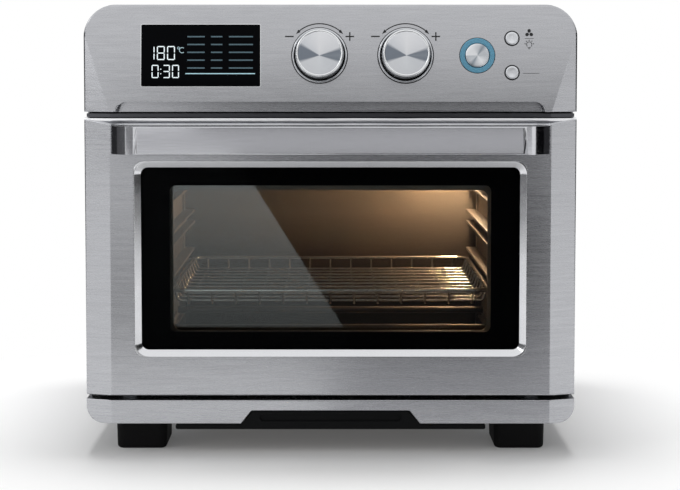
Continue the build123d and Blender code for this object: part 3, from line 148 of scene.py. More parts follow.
def principled(name, colour, **settings):
    """A material with one Principled shader; settings name its sockets with underscores."""
    material = bpy.data.materials.new(name)
    material.use_nodes = True
    tree = material.node_tree
    shader = tree.nodes["Principled BSDF"]
    shader.inputs["Base Color"].default_value = linear(colour)
    material.diffuse_color = linear(colour)
    for setting, value in settings.items():
        shader.inputs[setting.replace("_", " ")].default_value = value
    return material, tree, shader


def drive(tree, shader, **sources):
    """Links each node's first output to the shader socket that it is named for."""
    for socket, source in sources.items():
        tree.links.new(source.outputs[0], shader.inputs[socket.replace("_", " ")])


def bare_material(name):
    """A material and its emptied node tree."""
    material = bpy.data.materials.new(name)
    material.use_nodes = True
    material.node_tree.nodes.clear()
    return material, material.node_tree


def object_pattern(tree, scale, offset=(0, 0, 0)):
    """Object coordinates in metres, stretched by a scale for each axis."""
    place = add_node(tree, "ShaderNodeTexCoord").outputs["Object"]
    return add_node(
        tree, "ShaderNodeMapping", {"Vector": place, "Scale": scale, "Location": offset}
    )


def cloudy_pattern(tree, scale, detail, roughness=0.5, offset=(0, 0, 0)):
    """A noise with about one cell for each unit of the stretched coordinates."""
    place = object_pattern(tree, scale, offset)
    return add_node(
        tree,
        "ShaderNodeTexNoise",
        {"Vector": place, "Scale": 1.0, "Detail": detail, "Roughness": roughness},
    )


def by_height(tree, low, high, at_low=0.0, at_high=1.0):
    """A value that changes evenly between two heights in metres."""
    place = add_node(tree, "ShaderNodeTexCoord").outputs["Object"]
    height = add_node(tree, "ShaderNodeSeparateXYZ", {0: place}).outputs["Z"]
    return add_node(
        tree,
        "ShaderNodeMapRange",
        {
            "Value": height,
            "From Min": low,
            "From Max": high,
            "To Min": at_low,
            "To Max": at_high,
        },
    )


# Abrasive scratches are about 0.05 mm apart, far under a pixel, so they are drawn
# about 0.7 mm apart and 28 mm long
scratch_pitch = mm(0.7)
scratch_length = mm(28)
scratch_depth = mm(0.006)
cloud_scale = (5, 5, 9)
cloud_offset = (3.1, 1.7, 0.4)
cloud_share = 0.22


def brushed_steel(name, dark, light, rough_low, rough_high, grain="across"):
    """Stainless steel, belt brushed: fine straight scratches along one direction,
    which stretch its soft highlights."""
    material, tree, shader = principled(name, light, Metallic=1.0, Roughness=rough_low)
    fine, long = 1 / scratch_pitch, 1 / scratch_length
    scale = {"across": (long, long, fine), "back": (fine, long, fine)}[grain]
    scratches = cloudy_pattern(tree, scale, detail=3.0, roughness=0.65)
    clouds = cloudy_pattern(tree, cloud_scale, detail=2.0, offset=cloud_offset)
    both = add_node(tree, "ShaderNodeMix", {0: cloud_share, 2: scratches, 3: clouds})
    colours = add_node(
        tree, "ShaderNodeValToRGB", {"Fac": both}, ((0.32, dark), (0.68, light))
    )
    shine = add_node(
        tree,
        "ShaderNodeMapRange",
        {"Value": scratches, "To Min": rough_low, "To Max": rough_high},
    )
    relief = add_node(
        tree,
        "ShaderNodeBump",
        {"Height": scratches, "Distance": scratch_depth, "Strength": 0.35},
    )
    drive(tree, shader, Base_Color=colours, Roughness=shine, Normal=relief)
    return material


def turned_metal(name, colour, roughness, anisotropic):
    """Aluminium faced on a lathe: rings too fine to see, whose light gathers in sectors."""
    material, tree, shader = principled(
        name, colour, Metallic=1.0, Roughness=roughness, Anisotropic=anisotropic
    )
    rings = add_node(tree, "ShaderNodeTangent", direction_type="RADIAL", axis="Y")
    drive(tree, shader, Tangent=rings)
    return material


def lathe_painted_reflection(name, centre_x, stops, ring_pitch=mm(0.9)):
    """Aluminium faced on a lathe, with painted reflection: its colour by angle round the
    middle is pale and grey-blue in opposite wedges, over turning rings that are drawn coarser
    than real."""
    material, tree, shader = principled(name, "#C9CBD0", Metallic=1.0, Roughness=0.3)
    centre = on_panel(centre_x, 0.0)
    place = add_node(tree, "ShaderNodeTexCoord").outputs["Object"]
    apart = add_node(tree, "ShaderNodeSeparateXYZ", {"Vector": place}).outputs
    flat = add_node(tree, "ShaderNodeCombineXYZ", {"X": apart["X"], "Y": apart["Z"]})
    centred = add_node(
        tree, "ShaderNodeMapping", {"Vector": flat, "Location": (-centre.x, -centre.z, 0)}
    )
    angle = add_node(
        tree, "ShaderNodeTexGradient", {"Vector": centred}, gradient_type="RADIAL"
    ).outputs["Fac"]
    radius = add_node(
        tree, "ShaderNodeVectorMath", {0: centred}, operation="LENGTH"
    ).outputs["Value"]
    phase = add_node(
        tree, "ShaderNodeMath", {0: radius, 1: 2 * math.pi / ring_pitch}, operation="MULTIPLY"
    )
    rings = add_node(tree, "ShaderNodeMath", {0: phase}, operation="SINE")
    relief = add_node(
        tree, "ShaderNodeBump", {"Height": rings, "Distance": mm(0.004), "Strength": 0.3}
    )
    wedges = add_node(tree, "ShaderNodeValToRGB", {"Fac": angle}, stops)
    drive(tree, shader, Base_Color=wedges, Normal=relief)
    return material


def satin_metal(name, colour, roughness, cell=mm(14), change=0.06, metallic=1.0):
    """Plain sheet or bar metal with a slight cloudiness in its shine."""
    material, tree, shader = principled(
        name, colour, Metallic=metallic, Roughness=roughness
    )
    clouds = cloudy_pattern(tree, (1 / cell,) * 3, detail=3.0)
    shine = add_node(
        tree,
        "ShaderNodeMapRange",
        {"Value": clouds, "To Min": roughness - change, "To Max": roughness + change},
    )
    drive(tree, shader, Roughness=shine)
    return material


def spangled_zinc(name, crystal=mm(9)):
    """Hot-dip galvanised sheet: leaf-like crystals of slightly different greys."""
    material, tree, shader = principled(name, "#A4A8AB", Metallic=1.0, Roughness=0.42)
    cells = add_node(
        tree,
        "ShaderNodeTexVoronoi",
        {"Vector": object_pattern(tree, (1 / crystal,) * 3), "Scale": 1.0},
    ).outputs["Color"]
    grey = add_node(tree, "ShaderNodeRGBToBW", {"Color": cells})
    colours = add_node(
        tree, "ShaderNodeValToRGB", {"Fac": grey}, ((0.2, "#8C9194"), (0.8, "#B4B8BB"))
    )
    shine = add_node(
        tree, "ShaderNodeMapRange", {"Value": grey, "To Min": 0.34, "To Max": 0.5}
    )
    drive(tree, shader, Base_Color=colours, Roughness=shine)
    return material


def moulded(name, colour, roughness, grit=mm(0.8), depth=mm(0.02), light=None, shine=0.5):
    """Moulded plastic or rubber with a fine even grit; grit is drawn coarser than real."""
    material, tree, shader = principled(
        name, colour, Roughness=roughness, Specular_IOR_Level=shine
    )
    grains = cloudy_pattern(tree, (1 / grit,) * 3, detail=2.0)
    colours = add_node(
        tree, "ShaderNodeValToRGB", {"Fac": grains}, ((0.3, colour), (0.7, light or colour))
    )
    relief = add_node(
        tree, "ShaderNodeBump", {"Height": grains, "Distance": depth, "Strength": 0.6}
    )
    drive(tree, shader, Base_Color=colours, Normal=relief)
    return material


def clear_pane(name, tint, mirror_roughness, mirror_index):
    """Flat float glass: light goes straight through, and it mirrors more at a grazing view."""
    material, tree = bare_material(name)
    through = add_node(tree, "ShaderNodeBsdfTransparent", {"Color": linear(tint)})
    mirror = add_node(
        tree, "ShaderNodeBsdfGlossy", {"Color": white, "Roughness": mirror_roughness}
    )
    grazing = add_node(tree, "ShaderNodeFresnel", {"IOR": mirror_index})
    mixed = add_node(tree, "ShaderNodeMixShader", {0: grazing, 1: through, 2: mirror})
    add_node(tree, "ShaderNodeOutputMaterial", {"Surface": mixed})
    material.diffuse_color = (*linear(tint)[:3], 0.3)
    return material


def glowing(name, colour, strength):
    """A lit piece: its own colour plus its own light."""
    return principled(
        name,
        colour,
        Roughness=0.3,
        Emission_Color=linear(colour),
        Emission_Strength=strength,
    )[0]


# Stainless steel fascia, brushed side to side: mid grey with fine level lines
fascia_steel = brushed_steel("stainless_brushed_across", "#AEAFB3", "#C1C2C6", 0.22, 0.32)
# The same sheet on the cabinet, brushed front to back
cabinet_steel = brushed_steel(
    "stainless_brushed_back", "#ABACB0", "#BEBFC3", 0.28, 0.40, "back"
)
# Handle strap: finer satin, cleaner reflections
strap_steel = brushed_steel("stainless_satin_strap", "#C6C7CB", "#D2D3D7", 0.09, 0.15)
# Window bevel: bright polished edge that catches the floor and the sky
bevel_steel = satin_metal("stainless_polished_bevel", "#DDDEE1", 0.17)
# Door lip: the same steel, bead rolled, and painted paler than the fascia: a painted highlight
lip_painted_highlight_steel = satin_metal("stainless_lip_painted_highlight", "#F2F3F5", 0.3)
# Ledge over the door: the same steel, dark because it lies in the gap's shade
ledge_steel = satin_metal("stainless_ledge_in_shade", "#535458", 0.35)
# Front frame: stove enamel, black and slightly glossy
frame_enamel = moulded("black_stove_enamel", "#09090A", 0.4, mm(1.5), mm(0.01), "#101011")
# Back, base and housings: galvanised sheet, pale grey with a leafy spangle
galvanised = spangled_zinc("galvanised_sheet")
# Cavity: aluminised steel, dull silver that has begun to warm in colour
aluminised = satin_metal("aluminised_steel", "#7D766F", 0.5, mm(20), metallic=0.35)
# Cavity liner: the same steel, painted darker and browner towards the bottom, nearly black at
# the floor: painted shade under the basket
cavity_painted_shade_steel = satin_metal("aluminised_steel_painted_shade_low", "#7D766F", 0.5, mm(20), metallic=0.35)
painted_shade_low = mm(95)
painted_shade_high = mm(175)
tree = cavity_painted_shade_steel.node_tree
painted_shade_ramp = add_node(
    tree,
    "ShaderNodeValToRGB",
    {"Fac": by_height(tree, painted_shade_low, painted_shade_high)},
    ((0.0, "#1A1614"), (0.45, "#4B433D"), (1.0, "#857C73")),
)
drive(tree, tree.nodes["Principled BSDF"], Base_Color=painted_shade_ramp)
# Screws, arms and small fittings: zinc plate, pale and slightly soft in shine
zinc_plate = satin_metal("zinc_plated_steel", "#B9BCC0", 0.32)
# Door glass and inner glass: clear, with the faint grey of soda-lime glass
door_glass = clear_pane("tempered_float_glass", "#F6F8F8", 0.01, 1.06)
inner_pane = clear_pane("inner_float_glass", "#F4F6F6", 0.015, 1.8)
# Ceramic print fired on the back of the door glass: dense black
printed_black = principled(
    "ceramic_black_print", "#010102", Roughness=0.6, Specular_IOR_Level=0.02
)[0]
# Display window: smoked acrylic, near black with hardly a mirror image
display_black = principled(
    "display_window_acrylic", "#030407", Roughness=0.08, Specular_IOR_Level=0.03
)[0]
# Knob faces: painted reflection, two grey-blue wedges on pale aluminium. The gradient runs
# from 0 at the left, through 0.25 below and 0.5 at the right, to 0.75 above
pale, wedge = "#D9DBDF", "#7E858F"
knob_painted_reflection_stops = (
    (0.00, wedge), (0.035, wedge), (0.062, pale), (0.25, "#DDE0E4"), (0.44, "#D2D5DA"),
    (0.462, wedge), (0.50, "#8A919A"), (0.54, wedge), (0.565, pale), (0.75, "#E4E5E8"),
    (0.90, "#D2D5DA"), (0.925, wedge),
)
knob_face_painted_reflections = {
    "function_knob": lathe_painted_reflection("aluminium_painted_reflection_left", function_x, knob_painted_reflection_stops),
    "temperature_knob": lathe_painted_reflection(
        "aluminium_painted_reflection_right", temperature_x, knob_painted_reflection_stops
    ),
}
# Start button: the same painted reflection, with two narrow grey wedges
start_face_painted_reflection = lathe_painted_reflection(
    "aluminium_start_button_painted_reflection",
    start_x,
    (
        (0.0, "#C2C7CC"), (0.10, "#C8CCD1"), (0.16, "#8F98A1"), (0.22, "#C8CCD1"),
        (0.35, "#E9EBEE"), (0.5, "#C2C7CC"), (0.60, "#C8CCD1"), (0.66, "#8F98A1"),
        (0.72, "#C8CCD1"), (0.85, "#E9EBEE"),
    ),
)
# Other lathe-faced aluminium: the knobs' solids, and the faces of the small buttons
knob_face_metal = turned_metal("aluminium_lathe_faced", "#D4D6DA", 0.27, 0.85)
button_face_metal = turned_metal("aluminium_button_face", "#DCDEE2", 0.3, 0.6)
# Rims cut bright with a diamond tool, duller turned sides, and near black knob sides: painted
# shade
rim_metal = satin_metal("aluminium_diamond_cut_rim", "#E4E6E8", 0.22, change=0.03)
side_metal = satin_metal("aluminium_turned_side", "#A8AAAE", 0.28)
knob_side_painted_shade_metal = satin_metal("knob_side_painted_shade_black", "#1C1D1F", 0.3)
# Rings under the knobs: chrome, with a nearly clear mirror image
ring_metal = satin_metal("chromed_ring", "#C8CACE", 0.14, change=0.04)
# Grip and gland: moulded plastic, black with a dull soft sheen
black_abs = moulded("black_abs", "#08090A", 0.5, light="#0D0E10", shine=0.12)
# Feet: rubber, black and almost without shine
rubber = moulded("black_nitrile_rubber", "#0B0B0C", 0.62, mm(1.1), mm(0.04), "#111112", 0.12)
# Door seal: silicone, dark grey and soft in shine
silicone = moulded("grey_silicone", "#3B3B3D", 0.5, mm(2), mm(0.01), "#444446")
# Chromed wire: bright, with a soft round highlight
basket_chrome = satin_metal("chromed_wire", "#E2E0DC", 0.2, change=0.04)
# Heating rod sheath: oxidised nickel alloy, dark grey with a dry shine
rod_sheath = satin_metal("oxidised_alloy_sheath", "#5A5552", 0.5)
# Circuit boards: glass and epoxy under green solder mask
board_green = moulded("glass_epoxy_board", "#12391F", 0.45, mm(3), mm(0.02), "#1A4A2B")
# Encoders: nickel plate with a warm cast
plated_brass = satin_metal("nickel_plated_brass", "#B3AF9E", 0.3)
# Fans: pressed aluminium, pale and even
fan_metal = satin_metal("pressed_aluminium", "#B7B9BB", 0.36)
# Ring of light: opal plastic lit from behind in pale blue, with a darker blue edge
light_ring_glow = glowing("opal_blue_light_ring", "#5F9CB8", 0.10)
ring_edge_blue = principled("dark_blue_ring_edge", "#1E4F6B", Roughness=0.3)[0]
# Oven lamp: glass lit from behind, warm white
lamp_glow = glowing("lamp_lens_glass", "#FFD9A6", 3.0)
# Display light: cold white digits, paler blue-grey unit, bars and line
digit_glow = glowing("display_digit_light", "#DDE7EA", 0.7)
unit_glow = glowing("display_unit_light", "#A9C4CC", 0.35)
bar_dim = glowing("display_bar_unlit", "#4A626C", 0.28)
bar_lit = glowing("display_bar_lit", "#9FC3CE", 0.55)
# Matt black ink: screen printed marks, and painted shade in the dark rings round knobs,
# buttons and light ring and in the knob rings' recess and edge
ink_and_painted_shade = principled("black_ink_and_painted_shade", "#17181A", Roughness=0.6)[0]


# Pieces made from the solids

weld_distance = mm(0.002)
flat_angle = math.radians(0.6)


def merged_copy(name, source, flatten):
    """A copy of the source node's shape with its loose triangles joined; flatten makes
    each flat region one face."""
    shape = bmesh.new()
    shape.from_mesh(nodes[source].data)
    bmesh.ops.remove_doubles(shape, verts=shape.verts, dist=weld_distance)
    if flatten:
        bmesh.ops.dissolve_limit(
            shape, angle_limit=flat_angle, verts=shape.verts, edges=shape.edges
        )
    return mesh_object(name, shape)


def plain_mesh(piece):
    """Applies what modifiers the piece has and leaves a plain mesh."""
    graph = bpy.context.evaluated_depsgraph_get()
    mesh = bpy.data.meshes.new_from_object(piece.evaluated_get(graph))
    piece.modifiers.clear()
    piece.data = mesh


def shaped(piece, kind, **settings):
    """Applies one modifier to the piece."""
    modifier = piece.modifiers.new(kind.lower(), kind)
    for setting, value in settings.items():
        setattr(modifier, setting, value)
    plain_mesh(piece)


def smooth_by_angle(piece, degrees):
    """Rounds the shading except over edges sharper than the angle."""
    for face in piece.data.polygons:
        face.use_smooth = True
    piece.data.set_sharp_from_angle(angle=math.radians(degrees))


def with_material(piece, *materials):
    """Gives the piece these materials, the first to all its faces."""
    piece.data.materials.clear()
    for material in materials:
        piece.data.materials.append(material)


def weigh_edges(piece, weight_of):
    """Sets each edge's bevel weight; weight_of takes an edge and the mesh's low and high
    corners."""
    shape = bmesh.new()
    shape.from_mesh(piece.data)
    weight = shape.edges.layers.float.new("bevel_weight_edge")
    low = Vector([min(vert.co[axis] for vert in shape.verts) for axis in range(3)])
    high = Vector([max(vert.co[axis] for vert in shape.verts) for axis in range(3)])
    for edge in shape.edges:
        edge[weight] = weight_of(edge, low, high)
    shape.to_mesh(piece.data)
    shape.free()


# A fascia's outline lies within these bands inside its sides and its two ends, where a
# face to the front meets one that turns away
side_band = mm(30)
end_band = mm(5)
front_facing = -0.7
turned_away = -0.6


def outline_weight(edge, low, high):
    """Full weight for the front edges of a fascia that form its outline."""
    if len(edge.link_faces) != 2:
        return 0.0
    facing = sorted(face.normal.y for face in edge.link_faces)
    if facing[0] > front_facing or facing[1] < turned_away:
        return 0.0
    middle = (edge.verts[0].co + edge.verts[1].co) / 2
    near_side = high.x - abs(middle.x) < side_band
    near_end = min(middle.z - low.z, high.z - middle.z) < end_band
    return 1.0 if near_side or near_end else 0.0


lower_corner_radius = mm(14)
thickest_sheet = mm(2.5)
straight = mm(0.05)
corner_slack = mm(0.6)


def lower_corner_weight(edge, low, high):
    """The weight that rounds a lower corner of the cabinet's outline, less on inner edges
    so that the sheet keeps its thickness."""
    one, two = (vert.co for vert in edge.verts)
    along_y = abs(one.x - two.x) < straight and abs(one.z - two.z) < straight
    inset_x = high.x - abs(one.x)
    inset_z = one.z - low.z
    inset = max(inset_x, inset_z)
    if along_y and inset < thickest_sheet and abs(inset_x - inset_z) < corner_slack:
        return 1 - inset / lower_corner_radius
    return 0.0


# Dissolving would close the hole of a piece that runs round one
rings_round_a_hole = ("window_bezel", "door_seal", "front_frame", "door_inner_frame")
round_at_the_foot = ("lower_trim", "cabinet_wrap", "front_frame", "back_panel")
outline_bevels = {"control_panel": mm(1.5), "door_panel": mm(1.2)}


def finished(name, source, body, material, bevel, sharp):
    """A bevelled, smoothly shaded piece that stands for one CAD node."""
    piece = merged_copy(name, source, source not in rings_round_a_hole)
    by_weight = {"limit_method": "WEIGHT", "use_clamp_overlap": False}
    if source in round_at_the_foot:
        weigh_edges(piece, lower_corner_weight)
        shaped(piece, "BEVEL", width=lower_corner_radius, segments=9, **by_weight)
    if source in outline_bevels:
        weigh_edges(piece, outline_weight)
        shaped(piece, "BEVEL", width=outline_bevels[source], segments=5, **by_weight)
    if bevel:
        shaped(
            piece,
            "BEVEL",
            width=mm(bevel),
            segments=2,
            limit_method="ANGLE",
            angle_limit=math.radians(sharp),
        )
    smooth_by_angle(piece, sharp)
    if bevel:
        shaped(piece, "WEIGHTED_NORMAL", keep_sharp=True)
    with_material(piece, material)
    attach(piece, body)
    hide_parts(source)
    return piece


def new_piece(name, shape, body, slot_name, *materials):
    """A piece from a bmesh, riding on a body."""
    piece = mesh_object(name, shape)
    with_material(piece, *materials)
    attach(piece, body)
    return piece


# Material for each CAD node, those that a piece below replaces included
node_finishes = (
    (cabinet_steel, ("cabinet_wrap",)),
    (fascia_steel, ("control_panel", "lower_trim", "door_panel")),
    (frame_enamel, ("front_frame",)),
    (galvanised, ("back_panel", "base_pan", "tray_runners")),
    (galvanised, ("motor_bracket", "fan_housing", "lamp_housing")),
    (aluminised, ("cavity_liner", "rack_rail_left", "rack_rail_right", "fan_guard")),
    (aluminised, ("lower_element_brackets", "upper_element_brackets")),
    (aluminised, ("door_inner_frame", "crumb_tray")),
    (zinc_plate, ("back_screws", "foot_screws", "handle_screws")),
    (zinc_plate, ("hinge_arm_left", "hinge_arm_right", "hinge_brackets", "hinge_pins")),
    (zinc_plate, ("fan_motor", "fan_spindle", "temperature_probe")),
    (lamp_glow, ("lamp_lens", "lamp_bulb")),
    (display_black, ("display_lens",)),
    (ring_metal, ("function_knob_ring", "temperature_knob_ring")),
    (black_abs, ("cable_gland", "crumb_tray_grip")),
    (light_ring_glow, ("start_light_ring",)),
    (board_green, ("control_board", "power_board")),
    (plated_brass, ("encoders",)),
    (rubber, ("foot_front_left", "foot_front_right", "foot_rear_left", "foot_rear_right")),
    (silicone, ("door_seal",)),
    (rod_sheath, ("lower_elements", "upper_elements")),
    (bevel_steel, ("window_bezel",)),
    (door_glass, ("outer_glass",)),
    (inner_pane, ("inner_glass",)),
    (strap_steel, ("handle_strap",)),
    (basket_chrome, ("air_fry_basket",)),
    (knob_face_metal, ("function_knob", "temperature_knob")),
    (button_face_metal, ("start_button", "fan_button", "lamp_button")),
    (fan_metal, ("convection_fan", "cooling_fan")),
)
for material, node_names in node_finishes:
    for node_name in node_names:
        with_material(nodes[node_name], material)

# Pieces that keep their solid's shape, as node, body, slot, material and bevel in mm
dressed = (
    ("cabinet_wrap", root_body, "brushed_steel", cabinet_steel, 0.3),
    ("control_panel", root_body, "brushed_steel", fascia_steel, 0.5),
    ("lower_trim", root_body, "brushed_steel", fascia_steel, 0.5),
    ("front_frame", root_body, "frame_steel", frame_enamel, 0.3),
    ("back_panel", root_body, "galvanised_steel", galvanised, 0.4),
    ("base_pan", root_body, "galvanised_steel", galvanised, 0.0),
    ("cavity_liner", root_body, "aluminised_steel", cavity_painted_shade_steel, 0.0),
    ("rack_rail_left", root_body, "aluminised_steel", aluminised, 0.3),
    ("rack_rail_right", root_body, "aluminised_steel", aluminised, 0.3),
    ("display_lens", root_body, "display_lens", display_black, 0.2),
    ("cable_gland", root_body, "black_plastic", black_abs, 0.4),
    ("foot_front_left", root_body, "foot_rubber", rubber, 0.6),
    ("foot_front_right", root_body, "foot_rubber", rubber, 0.6),
    ("foot_rear_left", root_body, "foot_rubber", rubber, 0.6),
    ("foot_rear_right", root_body, "foot_rubber", rubber, 0.6),
    ("door_seal", root_body, "seal_silicone", silicone, 0.0),
    ("lower_elements", root_body, "element_sheath", rod_sheath, 0.0),
    ("upper_elements", root_body, "element_sheath", rod_sheath, 0.0),
    ("lamp_lens", root_body, "lamp_glass", lamp_glow, 0.0),
    ("temperature_probe", root_body, "zinc_steel", zinc_plate, 0.0),
    ("fan_guard", root_body, "aluminised_steel", aluminised, 0.0),
    ("door_panel", "door", "brushed_steel", fascia_steel, 0.5),
    ("window_bezel", "door", "bezel_steel", bevel_steel, 0.25),
    ("door_inner_frame", "door", "aluminised_steel", aluminised, 0.3),
    ("handle_strap", "door", "handle_steel", strap_steel, 0.6),
    ("crumb_tray_grip", "crumb_drawer", "black_plastic", black_abs, 0.4),
    ("convection_fan", "fan_rotor", "fan_aluminium", fan_metal, 0.0),
)
# Edges stay crisp above this angle; the strap's bends are drawn softer
crisp_angle = 16.0
strap_angle = 34.0
for node_name, body, slot_name, material, bevel in dressed:
    sharp = strap_angle if node_name == "handle_strap" else crisp_angle
    finished(f"{node_name}_skin", node_name, body, material, bevel, sharp)

# The ledge between panel and door is bare steel in shade, not enamel
ledge_low = mm(283.0)
ledge_high = mm(286.4)
frame_skin = bpy.data.objects["front_frame_skin"].data
frame_skin.materials.append(ledge_steel)
for face in frame_skin.polygons:
    if ledge_low < face.center.z < ledge_high:
        face.material_index = 1


# Turned pieces: knobs, their rings, the start button and the small buttons

def turned(centre, profile, faces, sides=96):
    """A turned shape about the panel's normal at a point; profile is (radius, lift) pairs
    from the middle out, and faces gives each stretch's material index."""
    shape = bmesh.new()
    loops = []
    for radius, lift in profile:
        if radius == 0:
            loops.append([shape.verts.new(on_panel(*centre, lift))])
            continue
        angles = [2 * math.pi * step / sides for step in range(sides)]
        points = [on_circle(*centre, radius, angle) for angle in angles]
        loops.append([shape.verts.new(on_panel(x, y, lift)) for x, y in points])
    for finish, inner, outer in zip(faces, loops, loops[1:]):
        for step in range(sides):
            ahead = (step + 1) % sides
            if len(inner) == 1:
                corners = (inner[0], outer[step], outer[ahead])
            elif len(outer) == 1:
                corners = (inner[step], outer[0], inner[ahead])
            else:
                corners = (inner[step], outer[step], outer[ahead], inner[ahead])
            face = shape.faces.new(corners)
            face.material_index = finish
            face.smooth = True
    return shape


knob_radius = mm(19.8)
knob_flare = mm(0.5)
knob_front = mm(18.5)
knob_back = mm(1.8)
face_lift = knob_front - mm(0.5)
face_edge = knob_radius - mm(2.2)
rim_outer = knob_radius - mm(0.8)
rim_inner = knob_radius - mm(1.6)
rim_drop = mm(1.2)
cup_roof = knob_front - mm(3.4)
stem_radius = mm(7.0)
stem_end = mm(1.2)
stem_bore = mm(3.2)

for knob_name, (knob_x, knob_body) in knob_places.items():
    new_piece(
        f"{knob_name}_face",
        turned(
            (knob_x, 0.0),
            ((0, face_lift), (face_edge * 0.5, face_lift), (face_edge, face_lift)),
            (0, 0),
        ),
        knob_body,
        "spun_aluminium",
        knob_face_painted_reflections[knob_name],
    )
    # The cup's rim is bright metal; its side and inside are near black, painted shade on the
    # knob's side
    cup = turned(
        (knob_x, 0.0),
        (
            (face_edge, face_lift),
            (rim_inner, knob_front),
            (rim_outer, knob_front),
            (knob_radius, knob_front - rim_drop),
            (knob_radius + knob_flare, knob_back),
            (rim_inner, knob_back),
            (face_edge, cup_roof),
            (stem_radius, cup_roof),
            (stem_radius, stem_end),
            (stem_bore, stem_end),
        ),
        (0, 0, 0, 1, 1, 1, 1, 1, 1),
    )
    cup_piece = new_piece(
        f"{knob_name}_cup", cup, knob_body, "spun_aluminium", rim_metal, knob_side_painted_shade_metal
    )
    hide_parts(knob_name)

# Knob rings: pale dished annulus; its recess round the knob and its rolled outer edge are ink
# black: painted shade
ring_radius = mm(22.9)
ring_height = mm(2.4)
ring_floor = mm(0.8)
ring_lip = ring_radius - mm(1.6)
ring_bore = mm(4.3)
for knob_name, (knob_x, _) in knob_places.items():
    ring = turned(
        (knob_x, 0.0),
        (
            (ring_bore, 0.0),
            (ring_bore, ring_floor),
            (ring_lip - mm(0.5), ring_floor),
            (ring_lip - mm(0.1), ring_height - mm(0.3)),
            (ring_lip + mm(0.2), ring_height),
            (ring_radius - mm(0.65), ring_height),
            (ring_radius - mm(0.1), ring_height - mm(0.2)),
            (ring_radius, ring_height - mm(0.6)),
            (ring_radius, 0.0),
        ),
        (1, 1, 1, 0, 0, 1, 1, 1),
    )
    ring_piece = new_piece(
        f"{knob_name}_ring_dish", ring, root_body, "spun_aluminium", ring_metal, ink_and_painted_shade
    )
    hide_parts(f"{knob_name}_ring")

# Start button and the two small buttons, as place, radius, top, body and face metal
start_radius = mm(10.0)
start_top = mm(2.1)
small_radius = mm(5.5)
small_top = mm(1.4)
button_root = mm(-3.0)
small = (small_radius, small_top)
buttons = {
    "start_button": ((start_x, 0.0), start_radius, start_top, "start_key", start_face_painted_reflection),
    "fan_button": ((small_x, small_rise), *small, "fan_key", button_face_metal),
    "lamp_button": ((small_x, -small_rise), *small, "lamp_key", button_face_metal),
}
for button_name, (place, radius, top, body, face_metal) in buttons.items():
    cap = turned(
        place,
        (
            (0, top - mm(0.15)),
            (radius * 0.6, top - mm(0.12)),
            (radius - mm(1.1), top),
            (radius - mm(0.5), top - mm(0.05)),
            (radius - mm(0.12), top - mm(0.4)),
            (radius, top - mm(0.9)),
            (radius, button_root),
            (0, button_root),
        ),
        (0, 0, 1, 1, 1, 2, 2),
        64,
    )
    cap_piece = new_piece(
        f"{button_name}_cap", cap, body, "spun_aluminium", face_metal, rim_metal, side_metal
    )
    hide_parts(button_name)

# Ring of light round the start button
light_outer = mm(14.5)
light_inner = start_radius + mm(0.35)
light_top = mm(1.2)
light_root = mm(-1.8)
light_ring = turned(
    (start_x, 0.0),
    (
        (light_inner, light_root),
        (light_inner, light_top - mm(0.3)),
        (light_inner + mm(0.4), light_top),
        (light_inner + mm(0.9), light_top),
        (light_outer - mm(1.1), light_top),
        (light_outer - mm(0.5), light_top),
        (light_outer, light_top - mm(0.5)),
        (light_outer, 0.0),
    ),
    (1, 1, 1, 0, 1, 1, 1),
    80,
)
light_piece = new_piece(
    "start_light_ring_glow",
    light_ring,
    root_body,
    "light_ring",
    light_ring_glow,
    ring_edge_blue,
)
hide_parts("start_light_ring")


# Node trees for what repeats: a row of equal shapes, side by side along Y

def row_tree(name, sizes):
    """A node tree whose named inputs are a count, a pitch, a material and these sizes;
    returns it with the inputs as they are seen inside it."""
    tree = bpy.data.node_groups.new(name, "GeometryNodeTree")
    kinds = {"Geometry": "Geometry", "Count": "Int", "Pitch": "Float", "Material": "Material"}
    kinds.update({size: "Float" for size in sizes})
    for label, kind in kinds.items():
        tree.interface.new_socket(label, in_out="INPUT", socket_type=f"NodeSocket{kind}")
    tree.interface.new_socket("Geometry", in_out="OUTPUT", socket_type="NodeSocketGeometry")
    return tree, add_node(tree, "NodeGroupInput").outputs


def repeat_in_row(tree, given, shape):
    """Ends the tree with real, painted copies of a shape, centred on the middle."""
    gaps = add_node(
        tree, "ShaderNodeMath", {0: given["Count"], 1: 1.0}, operation="SUBTRACT"
    )
    length = add_node(
        tree, "ShaderNodeMath", {0: gaps, 1: given["Pitch"]}, operation="MULTIPLY"
    )
    first = add_node(tree, "ShaderNodeMath", {0: length, 1: -0.5}, operation="MULTIPLY")
    row = add_node(
        tree,
        "GeometryNodeMeshLine",
        {
            "Count": given["Count"],
            "Start Location": add_node(tree, "ShaderNodeCombineXYZ", {"Y": first}),
            "Offset": add_node(tree, "ShaderNodeCombineXYZ", {"Y": given["Pitch"]}),
        },
        mode="OFFSET",
        count_mode="TOTAL",
    )
    copies = add_node(tree, "GeometryNodeInstanceOnPoints", {"Points": row, "Instance": shape})
    real = add_node(tree, "GeometryNodeRealizeInstances", {"Geometry": copies})
    painted = add_node(
        tree, "GeometryNodeSetMaterial", {"Geometry": real, "Material": given["Material"]}
    )
    add_node(tree, "NodeGroupOutput", {"Geometry": painted})


def grown(name, tree, values, place):
    """A plain mesh that a tree makes from its named inputs, moved to its place."""
    piece = in_scene(name, bpy.data.meshes.new(name))
    modifier = piece.modifiers.new("row", "NODES")
    modifier.node_group = tree
    for item in tree.interface.items_tree:
        if item.item_type == "SOCKET" and item.in_out == "INPUT" and item.name in values:
            modifier[item.identifier] = values[item.name]
    plain_mesh(piece)
    piece.data.transform(place)
    return piece


# Printed marks, painted shadow gaps and display, as thin plates just off the panel

ink_lift = mm(0.08)
plate_thickness = mm(0.06)


